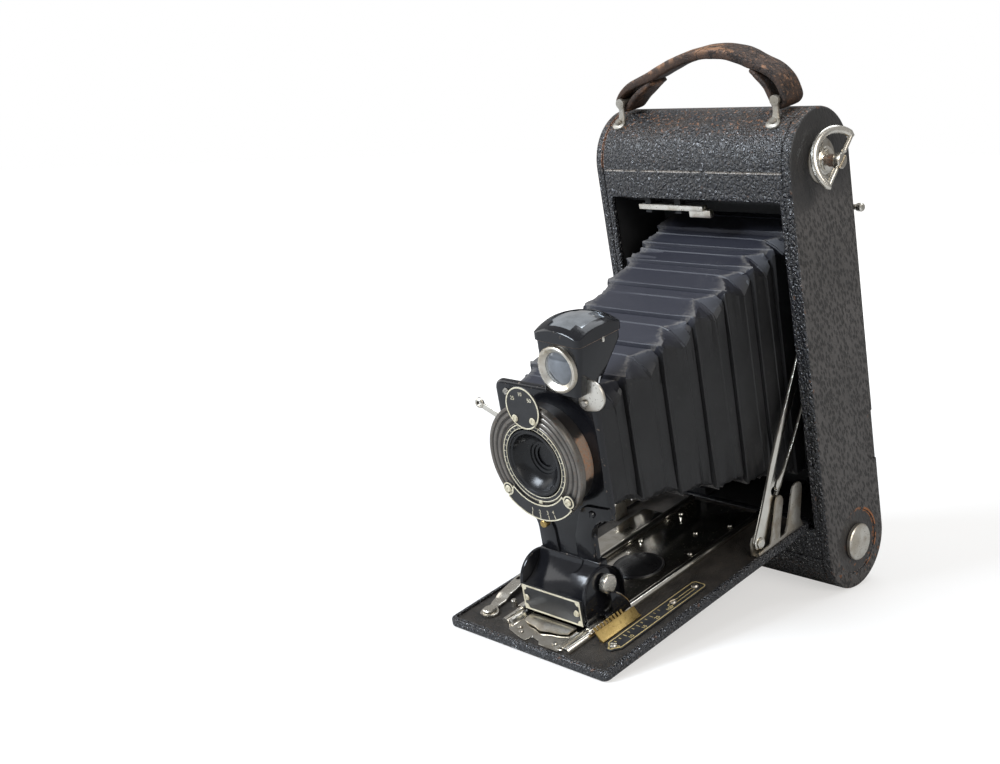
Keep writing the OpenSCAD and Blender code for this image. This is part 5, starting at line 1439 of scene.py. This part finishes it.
def makeShutter():
    r = shutter["r"]
    bm = turned([(12.0, 4.0), (16.2, 4.0), (16.2, 0.0), (20.9, 0.0), (20.9, -6.8), (22.9, -6.9),
                 (23.4, -7.1), (r, -7.5), (r, -8.3), (14.0, -8.3), (14.0, -7.6), (20.0, -7.6), (20.0, -0.9),
                 (12.0, -0.9)], steps=120, closed=True)
    # turned front over the works, on a rim that is open where the wheel, the lever and the pointer pass
    lathe(bm, [(16.35, -10.0), (23.4, -10.0), (r, -10.1), (r, -10.24), (23.4, -10.38), (22.5, -10.38),
               (22.25, -10.08), (21.6, -10.06), (21.3, -10.34), (20.4, -10.38), (20.1, -10.08),
               (19.2, -10.06), (18.9, -10.34), (18.0, -10.38), (17.7, -10.08), (16.8, -10.06),
               (16.5, -10.3), (16.35, -10.25)], steps=120, closed=True)
    rim = bmesh.new()
    for a0, a1 in shutter["rim"]:
        count = max(6, int((a1 - a0) / 3))
        prism(rim, arc(0, 0, r, a0, a1, count) + arc(0, 0, 22.5, a1, a0, count), -10.05, -8.2, "y")
    soften(rim, 0.12, 2, 50)
    def finishOf(face):
        spot = face.calc_center_median()
        if spot.y > -6.85:
            return 1
        out = math.hypot(face.verts[0].co.x, face.verts[0].co.z)
        # the shallow grooves of the front are painted darker, standing in for the shade in them
        sunk = spot.y < -10.0 and all(v.co.y > -10.12 for v in face.verts) and 16.6 < out < 23
        return 2 if sunk else 0
    placePiece("shutterCase", join(bm, rim), onBoard, "standard", [gunmetal, barrelRust, grooveShadeMetal],
               ["shutter_case"], 30, finishOf)
    bm = turned([(14.1, -8.2), (16.2, -8.2), (16.2, -10.0), (15.9, -10.3), (14.4, -10.3), (14.1, -10.0)],
                steps=96, closed=True)
    placePiece("bezelRing", bm, onBoard, "standard", plateBlack, ["bezel_ring"])
    bm = bmesh.new()
    line = (-10.36, -10.2)
    for a, b in ((15.65, 16.05), (14.2, 14.45)):
        lathe(bm, [(a, line[1]), (b, line[1]), (b, line[0]), (a, line[0])], steps=96, closed=True)
    for i in range(25):  # plain ticks round the upper part of the ring
        addTick(bm, -30 + 10 * i, (14.75, 15.4 if i % 4 else 15.65), line, 0.11)
    block(bm, (-0.9, 0.9), (-10.5, -10.2), (-16.9, -15.5))
    placePiece("bezelLines", bm, onBoard, "standard", creamPaint, ())
    bm = turned([(13.65, -10.2), (13.5, -10.5), (12.8, -10.5), (12.5, -10.0), (11.7, -9.8), (11.4, -9.2),
                 (9.9, -7.0), (8.4, -5.9), (6.7, -5.2), (6.5, -4.7), (5.5, -4.5), (5.3, -3.95),
                 (4.2, -3.85), (4.2, -3.7), (5.6, -3.7), (13.65, -8.0)], steps=96, closed=True)
    placePiece("lensFunnel", bm, onBoard, "standard", blackGloss, ["lens_funnel"])
    bm = turned([(0, 0.25), (4, 0.45), (8, 1.2), (11.8, 2.3), (11.8, 3.8), (0, 3.8)], steps=64)
    placePiece("rearGlass", bm, onBoard, "standard", darkGlass, ["lens_glass"])


# round plate over the speed wheel and the stop plate, with plain figures
def makeDials():
    r, wheelZ, wheelR, rear = shutter["r"], shutter["wheelZ"], shutter["plateR"], shutter["plateY"]
    front = rear - shutter["plateT"]
    line = (front - 0.1, front + 0.05)
    hub = (0, 0, wheelZ)
    ears = [polar(shutter["earR"], a) for a in shutter["ears"]]
    bm = turned([(0, rear), (wheelR - 0.1, rear), (wheelR, rear - 0.2), (wheelR, front + 0.2),
                 (wheelR - 0.2, front), (0, front)], hub, "y", 64)
    prism(bm, arc(0, 0, r, 225, 317, 40) + arc(0, 0, 16.9, 320, 222, 40), front, rear, "y")
    for ex, ez in ears:
        join(bm, bore(2.7, rear, front - 0.05, (ex, 0, ez), "y", 32))
    placePiece("shutterPlates", bm, onBoard, "standard", plateBlack, ["shutter_plates"])
    bm = turned([(7.95, line[1]), (8.5, line[1]), (8.5, line[0]), (7.95, line[0])], hub, "y", 64, True)
    frameRing(bm, arc(0, 0, 23.55, 225, 317, 40) + arc(0, 0, 16.95, 320, 222, 40),
              arc(0, 0, 23.05, 226, 316, 40) + arc(0, 0, 17.45, 318, 224, 40), *line, "y")
    for ex, ez in ears:
        lathe(bm, [(2.1, front), (2.65, front), (2.65, front - 0.18), (2.1, front - 0.18)], (ex, 0, ez),
              "y", 32, True)
    for a in shutter["marks"]:
        addTick(bm, a, (21.2, 22.8), line, 0.14)
    placePiece("plateLines", bm, onBoard, "standard", creamPaint, ())
    figures = [(t, *polar(shutter["figureR"], a)) for t, a in zip("1234", shutter["marks"])]
    figures += [(t, x, wheelZ + z) for t, x, z in (("25", -4.4, 3.6), ("50", 4.4, 3.6), ("10", 0, 5.6))]
    items = [(t, Matrix.Translation((x, front - 0.05, z)) @ upright) for t, x, z in figures]
    numbers("dialNumbers", items, 2.2, onBoard, "standard", creamPaint)
    heads = [((ex, front - 0.05, ez), (0, -1, 0), 35) for ex, ez in ears]
    heads += [((x, front, wheelZ - 4.6), (0, -1, 0), 60) for x in (-4.6, 4.6)]
    screwHeads("plateScrews", heads, 1.5, 0.5, onBoard, "standard", creamPaint)


# speed wheel, release lever, aperture pointer and blade
def makeControls():
    bm = turned([(2.1, 8.65), (6.1, 8.65), (6.1, 9.95), (2.1, 9.95)], (0, 0, 0), "z", 56, True)
    ridges = {"Count": 44, "Radius": 6.1, "Length": 1.25, "Ridge": 0.24, "Material": nickel}
    addGrown(bm, "ring", ridges, Matrix.Translation((0, 0, 9.3)))
    place = onBoard @ Matrix.Translation((0, 0, shutter["wheelZ"])) @ upright
    placePiece("speedWheel", bm, place, "speed_wheel", nickel, ["speed_wheel"])
    # the lever is a strip with an eyelet at its end
    angle, out = shutter["lever"]
    ex, _, ez = eye = shutter["eye"]
    strip = arc(0, 0, 3.0, -20, 250, 24) + [(0.9, -5.2), (3.4, -6.0), (10.6, -4.1)]
    strip += arc(ex, ez, 2.2, -150, 150, 22) + [(10.4, -1.9), (4.2, -3.4)]
    bm = cutPlate(strip, -9.8, -8.9, "y")
    soften(bm, 0.2, 2)
    bm = carve(bm, bore(1.1, -12, -6, eye, "y", 24), bore(1.5, -12, -6, (0, 0, 0), "y", 24))
    lathe(bm, [(1.1, -9.75), (1.9, -9.75), (2.0, -10.1), (1.7, -10.4), (1.1, -10.3)], eye, "y", 32, True)
    place = onBoard @ spin(-angle, "Y") @ Matrix.Translation((out, 0, 0))
    placePiece("releaseLever", bm, place, "release_lever", nickel, ["release_lever"])
    bm = cutPlate(arc(0, 0, 19.1, 205, 335, 40) + arc(0, 0, 16.9, 335, 205, 40), -9.6, -8.6, "y")
    prism(bm, [(-1.3, -25.2), (1.3, -25.2), (1.3, -17.2), (-1.3, -17.2)], -9.6, -8.6, "y")
    soften(bm, 0.2, 2, 50)
    lathe(bm, [(0, -8.6), (1.5, -8.6), (1.6, -8.9), (1.6, -11.0), (1.3, -11.4), (0, -11.4)], (0, 0, -25.4),
          "y", 28)
    placePiece("aperturePointer", bm, onBoard, "aperture_pointer", [plateBlack, brass], ["aperture_pointer"],
               32, lambda f: 1 if f.calc_center_median().z < -23.9 else 0)
    repaint(blackGloss, "shutter_blade")


# finder

finder = {"x": 16.8, "high": 47.1, "skirt": 48.4, "lensZ": 38.8, "pivot": (23.2, 24.5), "tip": 3.5}
cap = {"halfX": 11.35, "halfY": 12.0, "corner": 2.0, "midY": 5.5, "rise": 5.2, "top": 8.8, "sunk": 0.45,
       "xs": (0, 1.9, 3.7, 5.6, 7, 8.4, 9.6, 10.9, 11.35), "ys": (0, 2, 4, 6.2, 7.8, 9.4, 10.6, 11.6, 12),
       "cross": ((5.6, 9.4), (8.4, 6.2))}


def finderRing(z, half, y0, y1, r, shift=0.0):
    return [(finder["x"] + shift + x, y, z) for x, y in roundRect(-half, half, y0, y1, r, 5)]


# cap: a domed plate with upright sides and a cross-shaped window
def makeCap(place):
    hx, hy, r, rise = cap["halfX"], cap["halfY"], cap["corner"], cap["rise"]
    crown = (hx * hx + hy * hy + rise ** 2) / (2 * rise)
    xs, ys = ([-v for v in cap[n][:0:-1]] + list(cap[n]) for n in ("xs", "ys"))
    def tuck(x, y):
        dx, dy = abs(x) - (hx - r), abs(y) - (hy - r)
        if dx > 0 and dy > 0:
            s = max(dx, dy) / math.hypot(dx, dy)
            return (math.copysign(hx - r + dx * s, x), math.copysign(hy - r + dy * s, y))
        return (x, y)
    def height(x, y, sink):
        edge = max(abs(x) / hx, abs(y) / hy)
        droop = 0.25 * max(0.0, (edge - 0.95) / 0.05) ** 2
        return finder["high"] + cap["top"] - crown + math.sqrt(crown ** 2 - x * x - y * y) - sink - droop
    def inCross(x, y):
        return any(abs(x) < a and abs(y) < b for a, b in cap["cross"])
    def openEdges(bm):
        return [e for e in bm.edges if len(e.link_faces) == 1]
    middle = Vector((finder["x"], cap["midY"], 0))
    for glass in (False, True):
        sink = cap["sunk"] if glass else 0
        bm = bmesh.new()
        grid = {}
        for i, x in enumerate(xs):
            for j, y in enumerate(ys):
                px, py = tuck(x, y)
                grid[i, j] = bm.verts.new(middle + Vector((px, py, height(px, py, sink))))
        for i in range(len(xs) - 1):
            for j in range(len(ys) - 1):
                if inCross((xs[i] + xs[i + 1]) / 2, (ys[j] + ys[j + 1]) / 2) == glass:
                    bm.faces.new((grid[i, j], grid[i + 1, j], grid[i + 1, j + 1], grid[i, j + 1]))
        for v in [v for v in bm.verts if not v.link_faces]:
            bm.verts.remove(v)
        made = bmesh.ops.extrude_edge_only(bm, edges=openEdges(bm))
        for v in [g for g in made["geom"] if isinstance(g, bmesh.types.BMVert)]:
            outer = abs(v.co.x - middle.x) > 8.9 or abs(v.co.y - middle.y) > 9.9
            v.co.z = finder["skirt"] if outer else v.co.z - 1.0
        if glass:
            bmesh.ops.holes_fill(bm, edges=openEdges(bm), sides=0)
            placePiece("finderTopGlass", bm, place, "finder", finderGlass, ["finder_glass"],
                       38)
            continue
        bmesh.ops.bridge_loops(bm, edges=openEdges(bm))
        layer = bm.verts.layers.float.new("wear")
        for v in bm.verts:
            edge = max(abs(v.co.x - middle.x) / hx, abs(v.co.y - middle.y) / hy)
            if edge > 0.985 and v.co.z > finder["skirt"] + 0.3:
                v[layer] = 0.5
        placePiece("finderCap", bm, place, "finder", enamel, ["finder_cap"], 38)


def makeFinder():
    px, pz = finder["pivot"]
    there, home = Matrix.Translation((px, 0, pz)), Matrix.Translation((-px, 0, -pz))
    tipped = onBoard @ there @ spin(finder["tip"], "Y") @ home  # it stands a little over to the right
    bm = lofted([finderRing(27.9, 8.2, -5.3, -0.9, 1.5, -1.15), finderRing(28.2, 8.7, -5.8, 1.6, 1.8, -1.1),
                 finderRing(28.9, 8.9, -6, 6.6, 2.1, -1.0), finderRing(38, 9.9, -6, 12.6, 2.1, -0.45),
                 finderRing(45, 10.75, -6, 17, 2.1), finderRing(49.4, 10.9, -6, 17, 2.1)])
    placePiece("finderBody", bm, tipped, "finder", enamel, ["finder_body"], 40)
    # thin rusty line under the cap
    bm = bmesh.new()
    sizes = ((11.1, -6.2, 17.2, 2.2), (10.6, -5.7, 16.7, 1.8))
    outer, inner = ([p[:2] for p in finderRing(0, *size)] for size in sizes)
    frameRing(bm, outer, inner, finder["skirt"] - 0.3, finder["skirt"])
    placePiece("finderSeam", bm, tipped, "finder", rustBarrel, ())
    makeCap(tipped)
    # lens ring with fine ridges, and its lens
    x, z = finder["x"], finder["lensZ"]
    bm = turned([(7.1, 6.0), (8.85, 6.0), (8.85, 7.6), (8.5, 8.0), (8.0, 8.05), (7.2, 7.2), (6.4, 6.6),
                 (6.4, 6.0)], (0, 0, 0), "z", 72, True)
    ridges = {"Count": 90, "Radius": 8.82, "Length": 1.5, "Ridge": 0.16, "Material": agedNickel}
    addGrown(bm, "ring", ridges, Matrix.Translation((0, 0, 7.1)))
    placePiece("finderLensRing", bm, tipped @ Matrix.Translation((x, 0, z)) @ upright, "finder", agedNickel,
               ["finder_lens_ring"])
    bm = turned([(0, -8.1), (2.0, -7.95), (4.0, -7.5), (5.6, -6.9), (6.5, -6.4), (6.5, -5.6), (0, -5.6)],
                (x, 0, z), "y", 56)
    placePiece("finderLens", bm, tipped, "finder", lensGlass, ["finder_lens"])
    # turning plate below, and the small pin on the side
    bm = cutPlate(arc(26.6, 27.9, 6.2, -75, 180, 48) + arc(px, pz, 3.3, 180, 285, 16), -1.25, -0.1, "y")
    soften(bm, 0.25, 2, 50)
    placePiece("finderPlate", bm, onBoard, "finder", agedNickel, ["finder_bracket"])
    bm = solid(lambda b: block(b, (27.4, 28.5), (6.0, 7.2), (46.6, 48.7)))
    soften(bm, 0.3, 2)
    placePiece("finderPin", bm, tipped, "finder", brightNickel, ())
    repaint(mirrorFace, "finder_mirror")


makeCase()
makeBackFittings()
makeKey()
makeStrap()
makeTabs()
print("case, back, key and handle made")
makeBed()
makeBedFittings()
makeStruts()
print("bed made")
makeBellows()
print("bellows folded")
makeStandard()
makeBoard()
makeShutter()
makeDials()
makeControls()
makeFinder()
print("standard, shutter and finder made")
repaint(innerBlack, "bay_box", "film_gate")
repaint(nickel, "spool_studs", "film_roller_top", "film_roller_bottom")
repaint(enamel, "bed_hinge")


# light, floor and camera

studio = {"floor": 0.46, "floorHalf": 6, "world": 0.34, "room": 0.10, "toBack": (-0.62, 0.60, 0.5),
          "lamps": (("windowSoft", (-0.40, -1.02, 0.86), 0.55, 21.0, (0.82, 0.90, 1.0)),
                    ("topSoft", (0.05, 0.35, 1.3), 0.8, 6.0, (0.9, 0.95, 1.0)),
                    ("leftSoft", (-1.2, -0.5, 0.6), 0.9, 4.0, (1, 1, 1)),
                    ("rightSoft", (1.25, -0.35, 0.75), 0.9, 9.5, (1, 0.97, 0.93))),
          "aim": (0, -0.05, 0.1), "eye": (0.3561, -0.5069, 0.2016), "lens": 49.57, "sensor": 36.0,
          "right": (0.69425, 0.71963, -0.01249), "up": (-0.12570, 0.13832, 0.98238),
          "ahead": (-0.70867, 0.68046, -0.18648)}


def makeStudio():
    scene = bpy.context.scene
    scene.view_settings.view_transform = "Standard"
    world = bpy.data.worlds.new("studio")
    scene.world = world
    world.use_nodes = True
    tree = world.node_tree
    eye, glossy, clear = (addNode(tree, "ShaderNodeLightPath", None, None, i) for i in (0, 4, 6))
    # white backdrop behind the object and overhead; the room behind the camera is dim
    way = addNode(tree, "ShaderNodeTexCoord")
    toBack = addNode(tree, "ShaderNodeVectorMath", {"operation": "DOT_PRODUCT"},
                     {0: way, 1: studio["toBack"]}, 1)
    reach = {"Value": toBack, "From Min": -0.1, "From Max": 0.6, "To Min": studio["room"], "To Max": 1.0}
    white = addNode(tree, "ShaderNodeMapRange", {"interpolation_type": "SMOOTHSTEP"}, reach)
    seen = eye.do("MAXIMUM", eye, clear)
    plain = studio["world"] * (1.0 - glossy) + white * glossy
    tree.links.new((seen + plain * (1.0 - seen)).socket, tree.nodes["Background"].inputs[1])
    tree.nodes["Background"].inputs[0].default_value = (1, 1, 1, 1)
    half = studio["floorHalf"]
    mesh = bpy.data.meshes.new("floor")
    corners = [(-half, -half, 0), (half, -half, 0), (half, half, 0), (-half, half, 0)]
    mesh.from_pydata(corners, [], [(0, 1, 2, 3)])
    floor = bpy.data.objects.new("floor", mesh)
    scene.collection.objects.link(floor)
    paint = Finish("floorPaint")
    paint.put("Base Color", (studio["floor"],) * 3)
    paint.put("Roughness", 0.9)
    paint.put("Specular IOR Level", 0.0)
    # the camera sees the floor fade to the white backdrop away from the shadow
    spot = paint.add("ShaderNodeTexCoord", out=3)
    away = paint.add("ShaderNodeVectorMath", {"operation": "LENGTH"}, {0: spot}, 1)
    glow = paint.add("ShaderNodeLightPath") * (paint.ease(away, 0.2, 0.8) * 0.45 + 0.55)
    paint.put("Emission Color", paint.blend(glow, (0, 0, 0), (1, 0.985, 0.965)))
    paint.put("Emission Strength", 1.0)
    mesh.materials.append(paint.material)
    for name, where, size, power, tint in studio["lamps"]:
        lamp = bpy.data.lights.new(name, "AREA")
        lamp.energy, lamp.size, lamp.color = power, size, tint
        obj = bpy.data.objects.new(name, lamp)
        scene.collection.objects.link(obj)
        obj.location = where
        obj.rotation_euler = (Vector(studio["aim"]) - Vector(where)).to_track_quat("-Z", "Y").to_euler()
    cam = bpy.data.cameras.new("camera")
    cam.sensor_width, cam.lens, cam.clip_start = studio["sensor"], studio["lens"], 0.01
    obj = bpy.data.objects.new("camera", cam)
    scene.collection.objects.link(obj)
    right, up, ahead = (Vector(studio[n]) for n in ("right", "up", "ahead"))
    turn = Matrix((right, up, -ahead)).transposed().to_4x4()
    obj.matrix_world = Matrix.Translation(studio["eye"]) @ turn
    scene.camera = obj


makeStudio()
print("studio ready")
